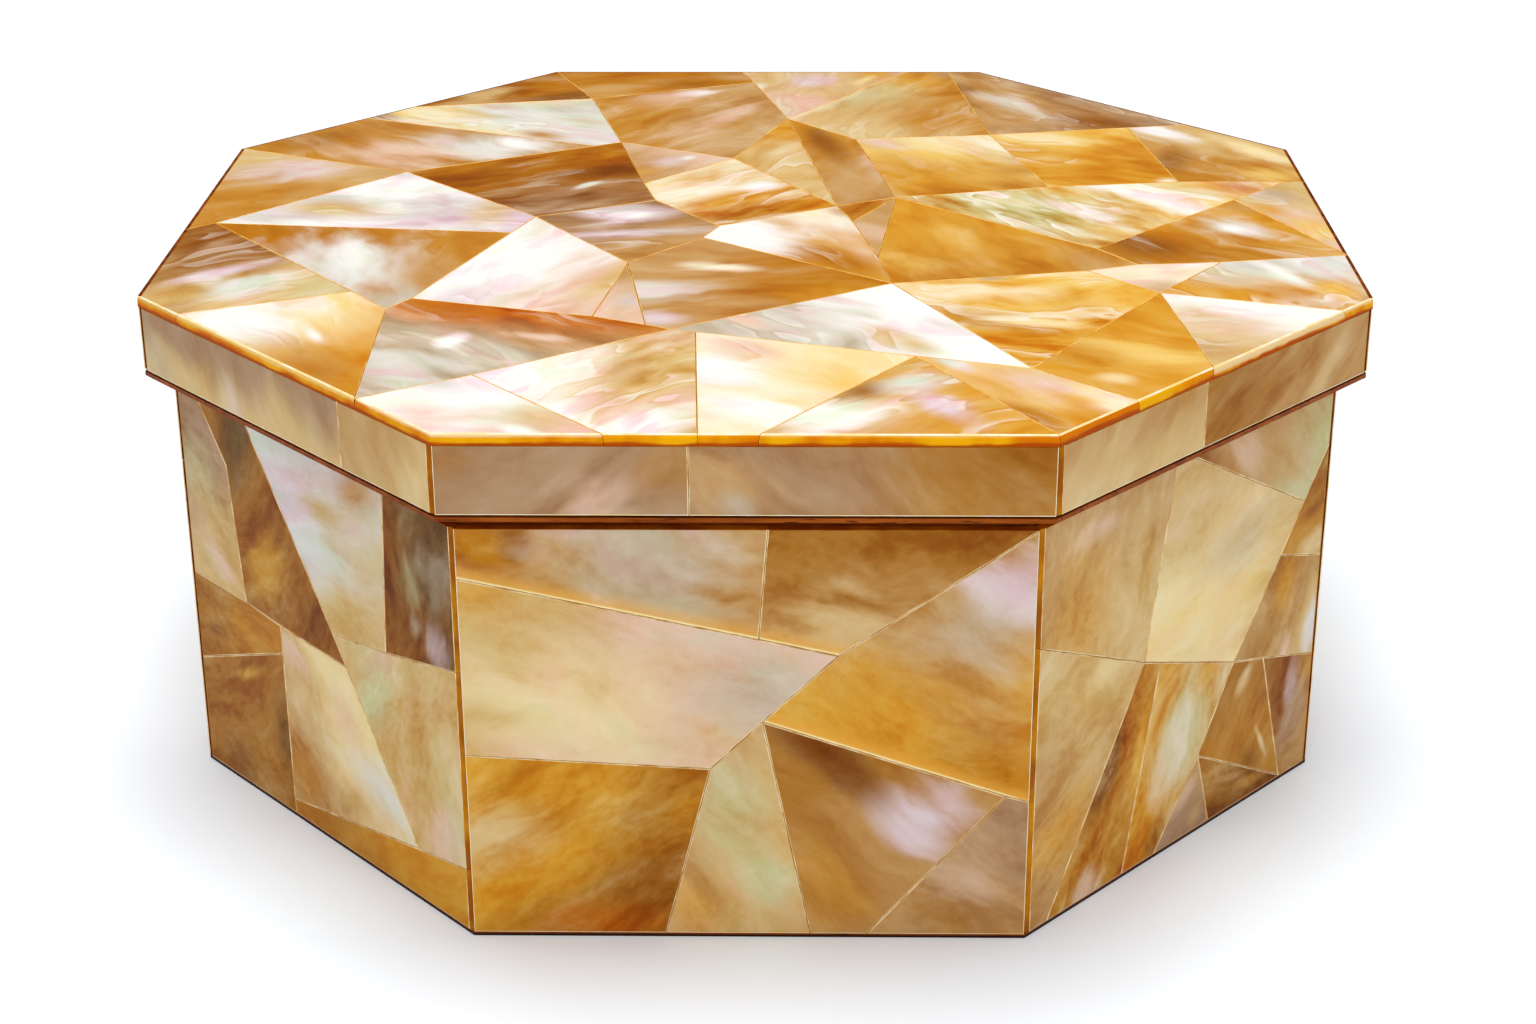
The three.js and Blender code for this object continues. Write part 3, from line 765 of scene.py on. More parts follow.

# %% [markdown]
# ## The lid's forty-four plates
#
# The lid is the show side, and no two neighbours look alike: the maker set dark honey beside white, and
# turned the grain from plate to plate. A dice could give each plate its look, but the lid would lose that
# order. So each is described one by one, as seen from straight above with the front below. The plates are
# numbered from the back left to the front right.

# %% Lid looks
LID_LOOKS = {
    1: look("amber honey", -110, 10, 0.3, 0.0, 0.0,
            puff("brown", .70, .50, .12, .5), puff("champagne", .28, .28, .15, .4),
            puff("tan", .93, .85, .10, .8)),
    2: look("champagne rose", -60, 84, 0.4, 0.8, 0.3,
            puff("gold", .80, .95, .17, 1.), puff("cream", .74, .82, .08, 1., 3., 60),
            puff("lilac", .42, .80, .14, .9), puff("pearl", .10, .60, .08, .8, 2.5, 80)),
    3: look("champagne honey", 15, 60, 0.4, 0.4, 0.2,
            puff("ivory", .14, .46, .15, 1., 6., 52), puff("gold", .66, .85, .16, .8),
            puff("mauve", .88, .97, .08, .8), puff("sage", .40, .60, .20, .5)),
    4: look("tan mauve", 0, -60, 0.6, 0.6, 0.3,
            puff("brown", .62, .17, .16, 1., 1.5, -40), puff("brown", .05, .72, .08, .8),
            puff("silver", .25, .48, .12, .6, 2.5), puff("rose", .60, .62, .06, .9, 2., 60)),
    5: look("brown amber", -20, 30, 0.4, 0.1, 0.0,
            puff("champagne", .42, .40, .14, .8), puff("champagne", .30, .12, .14, .5),
            puff("umber", .85, .28, .18, .7, 2.), puff("honey", .80, .48, .10, .8, 3.)),
    6: look("cream silver", -10, -30, 1.3, 0.5, 0.7,
            puff("silver", .56, .62, .24, 1., 2.), puff("ivory", .26, .66, .10, 1.),
            puff("honey", .70, .22, .07, .8, 2.), puff("mauve", .04, .62, .08, 1.)),
    7: look("honey tan", 0, 55, 0.5, 0.4, 0.1,
            puff("pearl", .50, .84, .05, 1., 2.5, 20), puff("rose", .34, .80, .12, .8),
            puff("rose", .66, .50, .12, .7, 4., 60), puff("honey", .10, .60, .20, .8)),
    8: look("honey tan", 0, -40, 0.4, 0.5, 0.1,
            puff("silver", .68, .47, .17, 1.), puff("pearl", .76, .54, .08, 1.),
            puff("rose", .46, .30, .16, .8), puff("brown", .20, .60, .12, .5, 2., 40)),
    9: look("brown amber", 120, 25, 0.5, 0.3, 0.2,
            puff("amber", .45, .85, .20, 1., 2.5), puff("umber", .80, .60, .15, .8, 2.),
            puff("mauve", .62, .18, .26, .9), puff("silver", .72, .40, .035, .9, 3., 50)),
    10: look("tan rose", 45, 50, 0.3, 0.5, 0.1,
             puff("pearl", .60, .60, .06, .9), puff("lilac", .45, .52, .14, .7),
             puff("gold", .22, .26, .16, .5)),
    11: look("gold champagne", -60, 60, 0.6, 0.3, 0.5,
             puff("ivory", .45, .60, .07, .6, 3.), puff("gold", .60, .85, .10, .6)),
    12: look("gold ivory", 150, 35, 1.6, 0.4, 0.6,
             puff("ivory", .20, .46, .20, 1.), puff("gold", .48, .38, .16, 1., 2.5),
             puff("pearl", .60, .57, .07, 1.), puff("honey", .55, .16, .22, .9, 2.5)),
    13: look("honey tan", -70, 80, 0.4, 0.4, 0.0,
             puff("gold", .22, .88, .16, .9), puff("brown", .34, .72, .12, 1., 4., 105),
             puff("rose", .85, .50, .10, .6, 4., 95)),
    14: look("amber butter", 80, -45, 0.4, 0.3, 0.1,
             puff("ivory", .85, .78, .22, 1., 2.5, -50), puff("rose", .12, .88, .11, 1.),
             puff("gold", .35, .25, .35, .8), puff("cream", .42, .90, .16, .9)),
    15: look("gold butter", 120, -24, 0.7, 0.1, 0.5,
             puff("cream", .30, .82, .18, .8, 4., -20), puff("gold", .45, .50, .20, .7, 4.),
             puff("amber", .88, .34, .14, .4, 2., -70), puff("ivory", .95, .10, .05, 1.)),
    16: look("honey champagne", 60, -50, 0.45, 0.3, 0.2,
             puff("pearl", .20, .88, .16, 1., 2.5), puff("cream", .80, .52, .16, .9, 4.),
             puff("brown", .20, .36, .15, .8, 2.5, 80), puff("butter", .80, .12, .14, .8)),
    17: look("honey champagne", 80, 20, 0.2, 0.6, 0.2,
             puff("lilac", .35, .72, .17, .7), puff("tan", .92, .70, .14, .8),
             puff("honey", .10, .08, .25, .8)),
    18: look("silver lilac", -30, -10, 0.9, 0.45, 0.8,
             puff("champagne", .35, .38, .13, 1.), puff("pearl", .54, .68, .22, 1.),
             puff("champagne", .86, .36, .12, .8, 2., 75), puff("pearl", .36, .10, .18, .9, 4., -5)),
    19: look("tan mauve", 90, 8, 0.5, 0.9, 0.6,
             puff("lilac", .50, .78, .22, 1., 1.6), puff("pearl", .52, .76, .07, 1.),
             puff("lilac", .50, .45, .16, 1., 6.), puff("tan", .60, .10, .20, .6)),
    20: look("pearl rose", -10, 70, 0.5, 0.5, 0.5,
             puff("champagne", .93, .36, .10, 1., 4.), puff("champagne", .30, .97, .09, .9),
             puff("pearl", .40, .55, .28, 1.), puff("lilac", .22, .12, .14, .8)),
    21: look("honey amber", 170, -80, 0.2, 0.3, 0.1,
             puff("silver", .52, .42, .29, 1., 1.7, -72), puff("pearl", .52, .60, .11, .7, 2.5, -72),
             puff("tan", .82, .34, .18, .9, 2.), puff("grey", .72, .08, .15, 1.)),
    22: look("brown champagne", -60, 45, 0.6, 0.7, 0.35,
             puff("brown", .12, .78, .20, .7), puff("lilac", .36, .46, .10, 1., 4., 38),
             puff("silver", .45, .30, .12, 1.), puff("sage", .85, .28, .12, .5), amber=0.62),
    23: look("gold pearl", 140, -50, 0.5, 0.2, 0.3,
             puff("pearl", .25, .62, .21, 1.), puff("ivory", .60, .88, .15, 1.),
             puff("amber", .72, .28, .18, 1., 2.), puff("tan", .76, .92, .07, .8)),
    24: look("amber honey", -60, 60, 0.7, 0.0, 0.0),
    25: look("tan tan", -60, -60, 0.2, 0.2, 0.0, puff("rose", .40, .40, .12, .5)),
    26: look("gold honey", -60, 110, 0.4, 0.1, 0.0,
             puff("gold", .50, .45, .28, .6), puff("butter", .30, .55, .10, .4, 3.),
             puff("butter", .12, .20, .12, .6), puff("tan", .82, .22, .12, .7)),
    27: look("champagne cream", 30, -50, 2.0, 0.6, 1.0,
             puff("pearl", .62, .78, .14, 1., 4.), puff("sage", .30, .62, .20, .8, 2.),
             puff("rose", .88, .92, .12, 1.), puff("pearl", .50, .42, .08, .9, 5.)),
    28: look("champagne rose", -90, -60, 0.5, 0.6, 0.5,
             puff("grey", .55, .82, .12, .8), puff("rose", .60, .55, .12, .7),
             puff("butter", .78, .35, .14, .9), puff("gold", .35, .60, .08, .8)),
    29: look("honey gold", 60, -45, 0.5, 0.4, 0.3,
             puff("silver", .55, .56, .15, 1.), puff("pearl", .58, .54, .07, 1.),
             puff("brown", .20, .28, .22, 1.), puff("tan", .68, .90, .12, .7)),
    30: look("amber tan", 180, 0, 0.35, 0.5, 0.0,
             puff("silver", .10, .38, .16, .9), puff("ivory", .34, .66, .08, 1., 3., -10),
             puff("gold", .80, .35, .16, .6), puff("lilac", .14, .12, .09, .9)),
    31: look("tan rose", -80, 80, 0.3, 0.8, 0.1,
             puff("lilac", .62, .38, .10, .9), puff("tan", .40, .85, .16, .6)),
    32: look("gold cream", 110, -55, 0.5, 0.3, 0.5,
             puff("pearl", .30, .72, .22, 1.), puff("ivory", .64, .84, .10, 1.),
             puff("pearl", .70, .56, .06, 1., 3., 115), puff("honey", .75, .24, .24, 1.), amber=0.62),
    33: look("honey grey", -125, -40, 0.8, 0.8, 0.25,
             puff("rust", .50, .85, .40, 1., 3., -14), puff("silver", .16, .30, .20, .9),
             puff("pearl", .27, .56, .06, 1., 2., 60), puff("rose", .56, .60, .07, 1., 4., -15),
             amber=0.55),
    34: look("pearl rose", -30, -30, 0.4, 0.6, 0.5,
             puff("pearl", .40, .62, .24, 1.), puff("lilac", .30, .88, .12, .8),
             puff("pearl", .68, .06, .07, 1.), puff("champagne", .74, .28, .12, .7), amber=0.75),
    35: look("pearl champagne", 20, 50, 1.2, 0.8, 0.7,
             puff("pearl", .22, .50, .18, 1., 2.), puff("pearl", .72, .10, .12, 1.),
             puff("rose", .85, .92, .12, .8), puff("champagne", .74, .50, .22, 1., 2., 70), amber=1.1),
    36: look("ivory cream", 0, -40, 0.6, 0.3, 0.4,
             puff("pearl", .12, .62, .14, 1.), puff("rose", .25, .82, .12, .9),
             puff("pearl", .32, .22, .18, .9, 2.5), puff("butter", .62, .52, .18, .5, 2.5), amber=0.95),
    37: look("grey pearl", 10, -50, 0.6, 0.5, 0.5,
             puff("pearl", .68, .72, .25, 1.), puff("grey", .28, .52, .10, .6, 3.),
             puff("champagne", .66, .30, .09, .9, 3.), puff("rose", .20, .55, .05, .9)),
    38: look("gold champagne", 170, 35, 0.5, 0.9, 0.5,
             puff("brown", .36, .55, .10, .8), puff("pearl", .22, .08, .22, 1.),
             puff("lilac", .63, .32, .11, 1., 2.5, 120), puff("silver", .52, .64, .11, 1.), amber=0.80),
    39: look("gold cream", 60, -55, 0.4, 0.5, 0.2,
             puff("rose", .55, .62, .20, 1.), puff("amber", .48, .24, .15, .9, 2.5),
             puff("silver", .16, .92, .09, 1., 3.), puff("ivory", .88, .35, .15, .9), amber=1.0),
    40: look("gold butter", 90, -8, 1.2, 0.1, 0.6,
             puff("ivory", .34, .78, .17, 1., 2.), puff("grey", .37, .93, .06, .9),
             puff("honey", .32, .46, .16, .9, 3., -25), puff("cream", .56, .44, .09, 1., 5., -10)),
    41: look("rose ivory", 60, 20, 0.2, 0.5, 0.1,
             puff("tan", .50, .10, .20, .7), puff("pearl", .80, .90, .12, .6)),
    42: look("gold silver", 70, -62, 0.9, 0.5, 0.7,
             puff("sage", .36, .60, .12, .5, 2.5), puff("pearl", .62, .70, .14, 1., 4.),
             puff("gold", .12, .34, .22, 1.), puff("butter", .86, .38, .13, 1.), amber=0.7),
    43: look("champagne pearl", 50, -20, 0.4, 0.5, 0.3,
             puff("pearl", .58, .76, .22, 1.), puff("rose", .35, .55, .16, .7),
             puff("tan", .14, .22, .16, .7), amber=0.4),
    44: look("gold gold", -45, -30, 0.4, 0.1, 0.0,
             puff("butter", .62, .42, .20, 1.), puff("cream", .45, .20, .05, .8),
             puff("amber", .30, .40, .14, .4), puff("honey", .50, .80, .09, .9), amber=1.0),
}
for number, plate_look in LID_LOOKS.items():
    plate_look["seed"] = number
print("lid looks", len(LID_LOOKS))

# %% [markdown]
# ## Setting the lid's plates
#
# An edge with every other plate on its inner side is part of the lid's outline and gets the arris of a rim,
# the near kind or the far one. Every other edge is a seam: it moves out until only a hair is left to its
# neighbour. With no gap at all, rounding would let some plates run into each other.

# %% Lid plates
LID_MATERIALS = {"face": POLISHED_NACRE, "arris": LID_ARRIS, "edge": AMBER_EDGE, "pale": ARRIS_HIGHLIGHT,
                 "corner": CORNER_AMBER, "joint": JOINT_GLUE}
HAIR = 0.02  # half the gap between two plates, in mm
LID_SEAM_HALF = 0.15  # half the gap between them in the frame

UP = Vector((0, 0, 1))
lid_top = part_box("lid_plate_01")[1].z / MM
lid_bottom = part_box("lid_plate_01")[0].z / MM
lid_nodes = sorted(name for name in nodes if name.startswith("lid_plate_"))
lid_outlines = {name: outlines_on(nodes[name], UP, lid_top)[0] for name in lid_nodes}
lid_points = [p for outline in lid_outlines.values() for p in outline]


def lid_kind(a, b):
    run = (b - a).normalized()
    if any(run.x * (p.y - a.y) - run.y * (p.x - a.x) < -SLACK for p in lid_points):
        return "seam"
    return "rim" if run.x > 0.1 else "far_rim"  # counter-clockwise, the near edges run to the right


def on_lid(along, up, depth):
    return Vector((along, up, lid_top - depth))


for name in lid_nodes:
    number = int(name[-2:])
    outline = lid_outlines[name]
    kinds = [lid_kind(p, outline[(i + 1) % len(outline)]) for i, p in enumerate(outline)]
    outline = inset(outline, [HAIR - LID_SEAM_HALF if kind == "seam" else 0.0 for kind in kinds])
    piece = plate_piece("shell_lid_%02d" % number, outline, kinds, lid_top - lid_bottom, [0.0] * len(kinds),
                        on_lid, LID_LOOKS[number], LID_MATERIALS)
    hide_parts(name)
print("lid plates", len(lid_nodes), "at", round(lid_top, 1), "mm")

# %% [markdown]
# ## The side plates' looks
#
# The sides are softer and calmer than the lid. A plate on a face in view could be found by a number, but
# numbers change when the frame is cut differently. So it is found by a spot that lies in it, given as shares
# of the face's length and height. The front has eight plates, honey and champagne, and the upper left, the
# upper right and the large gold one catch the light along their lower edges.

# %% Front looks
FRONT_SPOTS = [
    (0.25, 0.90, look("tan tan", -60, -25, 0.5, 1.0, 0.0,
                      puff("amber", .07, .82, .14, 1.), puff("brown", .19, .90, .06, 1., 2., 90),
                      puff("grey", .62, .62, .22, .8), glow=-80)),
    (0.75, 0.90, look("bronze tan", -90, -10, 0.4, 0.1, 0.0,
                      puff("champagne", .30, .20, .20, .7), puff("brown", .80, .97, .16, .9), glow=-100)),
    (0.30, 0.60, look("champagne rose", -30, -15, 0.4, 0.5, 0.0,
                      puff("cream", .28, .35, .20, .6), puff("gold", .05, .95, .12, .7),
                      puff("grey", .80, .40, .16, .8))),
    (0.85, 0.60, look("gold tan", 80, -25, 0.45, 0.4, 0.0,
                      puff("lilac", .94, .80, .16, .8), puff("grey", .80, .62, .14, .6),
                      puff("gold", .40, .28, .25, .6), puff("amber", .85, .10, .18, .8), glow=-110)),
    (0.15, 0.20, look("gold bronze", -35, 30, 0.5, 0.1, 0.0,
                      puff("champagne", .12, .55, .20, 1.), puff("gold", .38, .85, .20, .8),
                      puff("brown", .90, .36, .27, 1.), puff("rust", .60, .06, .18, .8, 3., 0))),
    (0.45, 0.20, look("tan champagne", -60, -60, 0.4, 0.8, 0.0,
                      puff("sage", .48, .60, .20, .7), puff("gold", .20, .12, .16, .6),
                      puff("sage", .70, .25, .12, .7))),
    (0.70, 0.25, look("bronze tan", -45, -40, 0.25, 0.3, 0.0,
                      puff("lilac", .68, .56, .19, 1., 1.), puff("umber", .25, .88, .18, 1., 3.),
                      puff("honey", .30, .20, .20, .8))),
    (0.95, 0.10, look("tan mauve", 60, -30, 0.35, 0.3, 0.0,
                      puff("rose", .62, .35, .18, .5), puff("bronze", .60, .10, .20, .5))),
]
print("front looks", len(FRONT_SPOTS))

# %% [markdown]
# The face to the left of the front has nine plates. They run from silver and champagne to a dark smoky one
# at the corner, with faint lilac and sage in it.

# %% Front left looks
FRONT_LEFT_SPOTS = [
    (0.08, 0.70, look("mauve champagne", -90, -30, 0.5, 0.5, 0.0,
                      puff("sage", .30, .62, .16, .6), puff("rose", .60, .15, .12, .8),
                      puff("mauve", .45, .93, .10, .7))),
    (0.35, 0.75, look("bronze brown", -60, 50, 0.5, 0.0, 0.0,
                      puff("smoke", .28, .92, .20, 1., 2., 60), puff("gold", .42, .30, .14, .6),
                      puff("umber", .80, .14, .12, .7))),
    (0.60, 0.80, look("silver champagne", -60, 15, 0.5, 0.5, 0.0,
                      puff("lilac", .30, .68, .20, .7), puff("champagne", .66, .15, .18, .9),
                      puff("honey", .80, .92, .12, .8), puff("silver", .50, .45, .18, .7))),
    (0.90, 0.80, look("brown smoke", 10, 80, 0.5, 0.5, 0.0,
                      puff("sage", .42, .52, .14, .35), puff("lilac", .72, .22, .12, .45, 1.2),
                      puff("grey", .72, .62, .18, .3, 1.2), puff("grey", .45, .28, .07, .5, 1.2))),
    (0.15, 0.40, look("bronze honey", 0, 10, 0.5, 0.0, 0.0,
                      puff("umber", .25, .45, .07, .6, 3.), puff("gold", .55, .75, .12, .5))),
    (0.15, 0.15, look("bronze bronze", 0, 35, 0.5, 0.1, 0.0,
                      puff("butter", .60, .74, .12, .7, 4., 25), puff("smoke", .94, .48, .16, .7, 3., 90),
                      puff("umber", .35, .08, .16, .6))),
    (0.55, 0.30, look("tan cream", 30, -30, 0.5, 0.3, 0.0,
                      puff("rose", .14, .86, .10, .9), puff("silver", .75, .36, .22, .8),
                      puff("amber", .10, .22, .20, .8), puff("rose", .50, .70, .12, .4))),
    (0.85, 0.40, look("champagne champagne", 0, 75, 0.6, 0.9, 0.0,
                      puff("rose", .80, .14, .14, .8), puff("sage", .32, .62, .18, .7),
                      puff("honey", .66, .62, .14, .5, 4., 95))),
    (0.75, 0.06, look("honey gold", 0, 20, 0.4, 0.0, 0.0, puff("bronze", .20, .50, .12, .6))),
]
print("front left looks", len(FRONT_LEFT_SPOTS))

# %% [markdown]
# The face to the right has twelve, with calm large ones above and slim ones fanned out below. The slim ones
# are the liveliest of the sides, and have more contrast.

# %% Front right looks
FRONT_RIGHT_SPOTS = [
    (0.20, 0.80, look("tan champagne", -80, 80, 0.5, 0.2, 0.0,
                      puff("rose", .42, .86, .09, .5, 3., 5), puff("champagne", .75, .60, .22, .5),
                      puff("gold", .30, .40, .30, .5))),
    (0.65, 0.60, look("champagne cream", -100, 10, 0.45, 0.3, 0.0,
                      puff("butter", .60, .30, .20, .4), puff("grey", .60, .50, .14, .4))),
    (0.80, 0.95, look("tan sage", -60, -40, 0.3, 1.0, 0.0,
                      puff("brown", .06, .95, .12, .9, 2.5), puff("rose", .35, .80, .12, .6))),
    (0.96, 0.70, look("bronze honey", -90, 15, 0.4, 0.0, 0.0,
                      puff("brown", .70, .45, .12, .8, 3.), puff("champagne", .80, .16, .12, .8, 2.),
                      puff("champagne", .95, .82, .10, .6))),
    (0.85, 0.45, look("bronze champagne", -50, 75, 0.4, 0.3, 0.0,
                      puff("silver", .92, .26, .13, .9, 2.5), puff("rose", .60, .20, .12, .8),
                      puff("gold", .55, .75, .16, .7))),
    (0.15, 0.35, look("tan champagne", 67, 30, 0.5, 0.3, 0.0,
                      puff("gold", .30, .30, .16, .7), puff("cream", .60, .78, .10, .5, 3.))),
    (0.35, 0.25, look("amber honey", -30, 65, 0.9, 0.1, 0.0,
                      puff("umber", .52, .58, .16, .9, 2.5), puff("umber", .58, .82, .08, .9, 2.),
                      puff("gold", .86, .60, .10, 1., 5., 78), puff("rose", .35, .02, .10, .9))),
    (0.55, 0.30, look("gold champagne", 5, 70, 0.8, 0.2, 0.1,
                      puff("ivory", .40, .48, .16, .6, 2.), puff("sage", .55, .60, .22, .7),
                      puff("gold", .75, .85, .12, .7), puff("brown", .30, .06, .12, .7))),
    (0.54, 0.05, look("tan mauve", -90, 40, 0.3, 0.2, 0.0,
                      puff("rose", .50, .55, .16, .6, 2.5, 35), puff("champagne", .75, .20, .14, .6))),
    (0.70, 0.06, look("umber bronze", 125, -8, 0.6, 0.0, 0.0,
                      puff("tan", .42, .42, .06, .6, 6.), puff("honey", .62, .22, .08, .6, 4.))),
    (0.70, 0.25, look("bronze honey", -120, 55, 0.4, 0.1, 0.0,
                      puff("champagne", .48, .84, .07, .8), puff("cream", .74, .34, .05, .8, 5., -62),
                      puff("umber", .60, .20, .14, .6))),
    (0.93, 0.20, look("brown tan", -60, 75, 0.5, 0.4, 0.0,
                      puff("lilac", .55, .66, .12, .4, 3., 90), puff("brown", .30, .92, .16, .9),
                      puff("mauve", .60, .35, .20, .8), puff("honey", .95, .75, .10, .7))),
]
print("front right looks", len(FRONT_RIGHT_SPOTS))

# %% [markdown]
# ## Quiet looks
#
# The other five faces have no picture to follow. They could repeat the front, but a repeat would be seen when
# the box is turned. They draw their looks from a seeded dice, so that they are in keeping with the faces that
# show and come out the same every time.

# %% Quiet looks
SPOTS = {"front": FRONT_SPOTS, "front_left": FRONT_LEFT_SPOTS, "front_right": FRONT_RIGHT_SPOTS}
QUIET_TONES = [
    "tan champagne", "champagne cream", "honey bronze", "champagne rose", "gold tan", "sage champagne",
    "bronze honey", "grey champagne", "honey champagne", "tan mauve",
]
QUIET_PUFFS = ["champagne", "lilac", "brown", "gold", "silver", "rose", "umber", "cream"]
dice = random.Random(5)


def quiet_look(contrast):
    tones = dice.choice(QUIET_TONES)
    toward, grain = dice.uniform(0, 360), dice.uniform(-80, 80)
    tint = dice.uniform(0.1, 0.8)
    puffs = [puff(dice.choice(QUIET_PUFFS), x=dice.uniform(.15, .85), y=dice.uniform(.15, .85),
                  size=dice.uniform(.12, .24), share=dice.uniform(.4, .8), stretch=dice.uniform(1.2, 3))
             for _ in range(3)]
    return look(tones, toward, grain, contrast, tint, 0.0, *puffs)


print("quiet looks from", len(QUIET_TONES), "pairs of tones and", len(QUIET_PUFFS), "kinds of puff")

# %% [markdown]
# ## Where a face ends
#
# Each face is read from its node. Its two ends lie at the corners, where neighbouring faces' planes cross,
# and lean back under the face so that the plates meet in a mitre. Butted ends would be simpler, but then the
# plates of one face would show their cut ends on the next one.

# %% Ends of a face
def by_azimuth(plane):
    return math.atan2(plane[0].y, plane[0].x)


def corner_between(plane, other):
    """Where two upright planes cross, in plan."""
    (n, d), (m, e) = plane, other
    cross = n.x * m.y - n.y * m.x
    return Vector(((d * m.y - e * n.y) / cross, (e * n.x - d * m.x) / cross, 0))


def side_ends(planes, i):
    """A face's ends along it, and how far they lean in for each mm of depth."""
    plane = planes[i]
    along = axes_of(plane[0])[0]
    before, after = planes[i - 1], planes[(i + 1) % len(planes)]
    left_end = corner_between(before, plane).dot(along)
    right_end = corner_between(plane, after).dot(along)
    lean = [math.tan(plane[0].angle(other[0]) / 2) for other in (before, after)]
    return (left_end, right_end), lean


body_nodes = sorted(name for name in nodes if name.startswith("body_mosaic_"))
plane_of = {name: outward_planes(nodes[name])[0] for name in body_nodes}
body_planes = sorted(plane_of.values(), key=by_azimuth)
front_ends = side_ends(body_planes, body_planes.index(plane_of["body_mosaic_front"]))[0]
print("the front runs from", round(front_ends[0], 1), "to", round(front_ends[1], 1), "mm")

# %% [markdown]
# ## Fitting a plate to its face
#
# In the frame a face's plates stop short of its ends, and the grooves between them are wider than real seams.
# Here every edge moves to its true place: the ends to the corner, the upper and lower edges to theirs, and
# all the others out to the seams. The ends on the four slanting faces are ground wider, and show the amber
# of the cut edge as a narrow upright strip.

# %% Fitted outlines
SIDE_SEAM_HALF = 0.12  # half the gap between two side plates in the frame, in mm
CORNER_GAP = 0.08  # from a plate's end to the corner, in mm
END_REACH, LEDGE_REACH = 0.5, 0.6  # how near its line an end or a level edge lies, in mm
UPRIGHT_SLACK = 0.05


def slants(face):
    """The slanting faces are those with two words in their names, such as front_left."""
    return "_" in face


def fitted(outline, ends, low, high, leans, slanting):
    """Moves an outline's edges out to the seams, the face's ends and its upper and lower edges."""
    kinds, shifts, tilts = [], [], []
    for i, p in enumerate(outline):
        q = outline[(i + 1) % len(outline)]
        upright, flat = abs(p.x - q.x) < UPRIGHT_SLACK, abs(p.y - q.y) < UPRIGHT_SLACK
        gaps = [abs(p.x - ends[0]), abs(p.x - ends[1]), abs(p.y - low), abs(p.y - high)]
        if upright and min(gaps[:2]) < END_REACH:
            side = gaps.index(min(gaps[:2]))
            kinds.append("amber_end" if slanting else "end")
            shifts.append(CORNER_GAP - gaps[side])
            tilts.append(leans[side])
        elif flat and min(gaps[2:]) < LEDGE_REACH:
            kinds.append("ledge" if gaps[2] < gaps[3] else "tucked")
            shifts.append(-min(gaps[2:]))
            tilts.append(0.0)
        else:
            kinds.append("side_seam")
            shifts.append(HAIR - SIDE_SEAM_HALF)
            tilts.append(0.0)
    return inset(outline, shifts), kinds, tilts


def face_frame(normal, distance):
    along, up = axes_of(normal)
    return lambda x, y, depth: along * x + up * y + normal * (distance - depth)


print("side plates move out by", round(SIDE_SEAM_HALF - HAIR, 2), "mm at the seams")

# %% [markdown]
# ## The body's plates
#
# Now the plates of each face are built in turn, from the top left to the bottom right, and take the look
# whose spot they hold. They stand on a narrow band of the wooden carcass. All the plates of a face together
# take the place of that face's node.

# %% Body plates
BODY_MATERIALS = dict(LID_MATERIALS, face=SATIN_NACRE, arris=SIDE_ARRIS)
SIDE_THICKNESS = 1.2
BASE_BAND = 0.5
FIRST_BODY_PATTERN = 60  # beyond the lid plates' own
body_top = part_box("body_mosaic_front")[1].z / MM


def holds(outline, spot):
    """True if the spot lies inside the outline."""
    inside = False
    for i, p in enumerate(outline):
        q = outline[i - 1]
        if (p.y > spot.y) != (q.y > spot.y) and spot.x < p.x + (q.x - p.x) * (spot.y - p.y) / (q.y - p.y):
            inside = not inside
    return inside


def look_of(face, outline, ends):
    for share_along, share_up, spot_look in SPOTS.get(face, []):
        if holds(outline, Vector((ends[0] + (ends[1] - ends[0]) * share_along, body_top * share_up))):
            return spot_look
    return quiet_look(0.4)


def top_left_first(outline):
    return -max(p.y for p in outline), min(p.x for p in outline)


made = 0
for name in body_nodes:
    face = name.removeprefix("body_mosaic_")
    plane = plane_of[name]
    ends, leans = side_ends(body_planes, body_planes.index(plane))
    pieces = []
    for outline in sorted(outlines_on(nodes[name], *plane), key=top_left_first):
        plate_look = look_of(face, outline, ends)
        made += 1
        plate_look["seed"] = FIRST_BODY_PATTERN + made
        fitted_outline, kinds, tilts = fitted(outline, ends, BASE_BAND + HAIR, body_top, leans, slants(face))
        piece = plate_piece("shell_%s_%d" % (face, len(pieces) + 1), fitted_outline, kinds, SIDE_THICKNESS,
                            tilts, face_frame(*plane), plate_look, BODY_MATERIALS)
        pieces.append(piece)
    for piece in pieces:
        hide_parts(name)
    print(face, len(pieces), "plates")

# %% [markdown]
# ## The rim's plates
#
# Sixteen long plates run round the lid's rim, two to a side, plainer than the rest. They are read from their
# own node in the same way, one side after the other. The six in view have looks of their own, from left to
# right on each side, and the others take quiet ones.

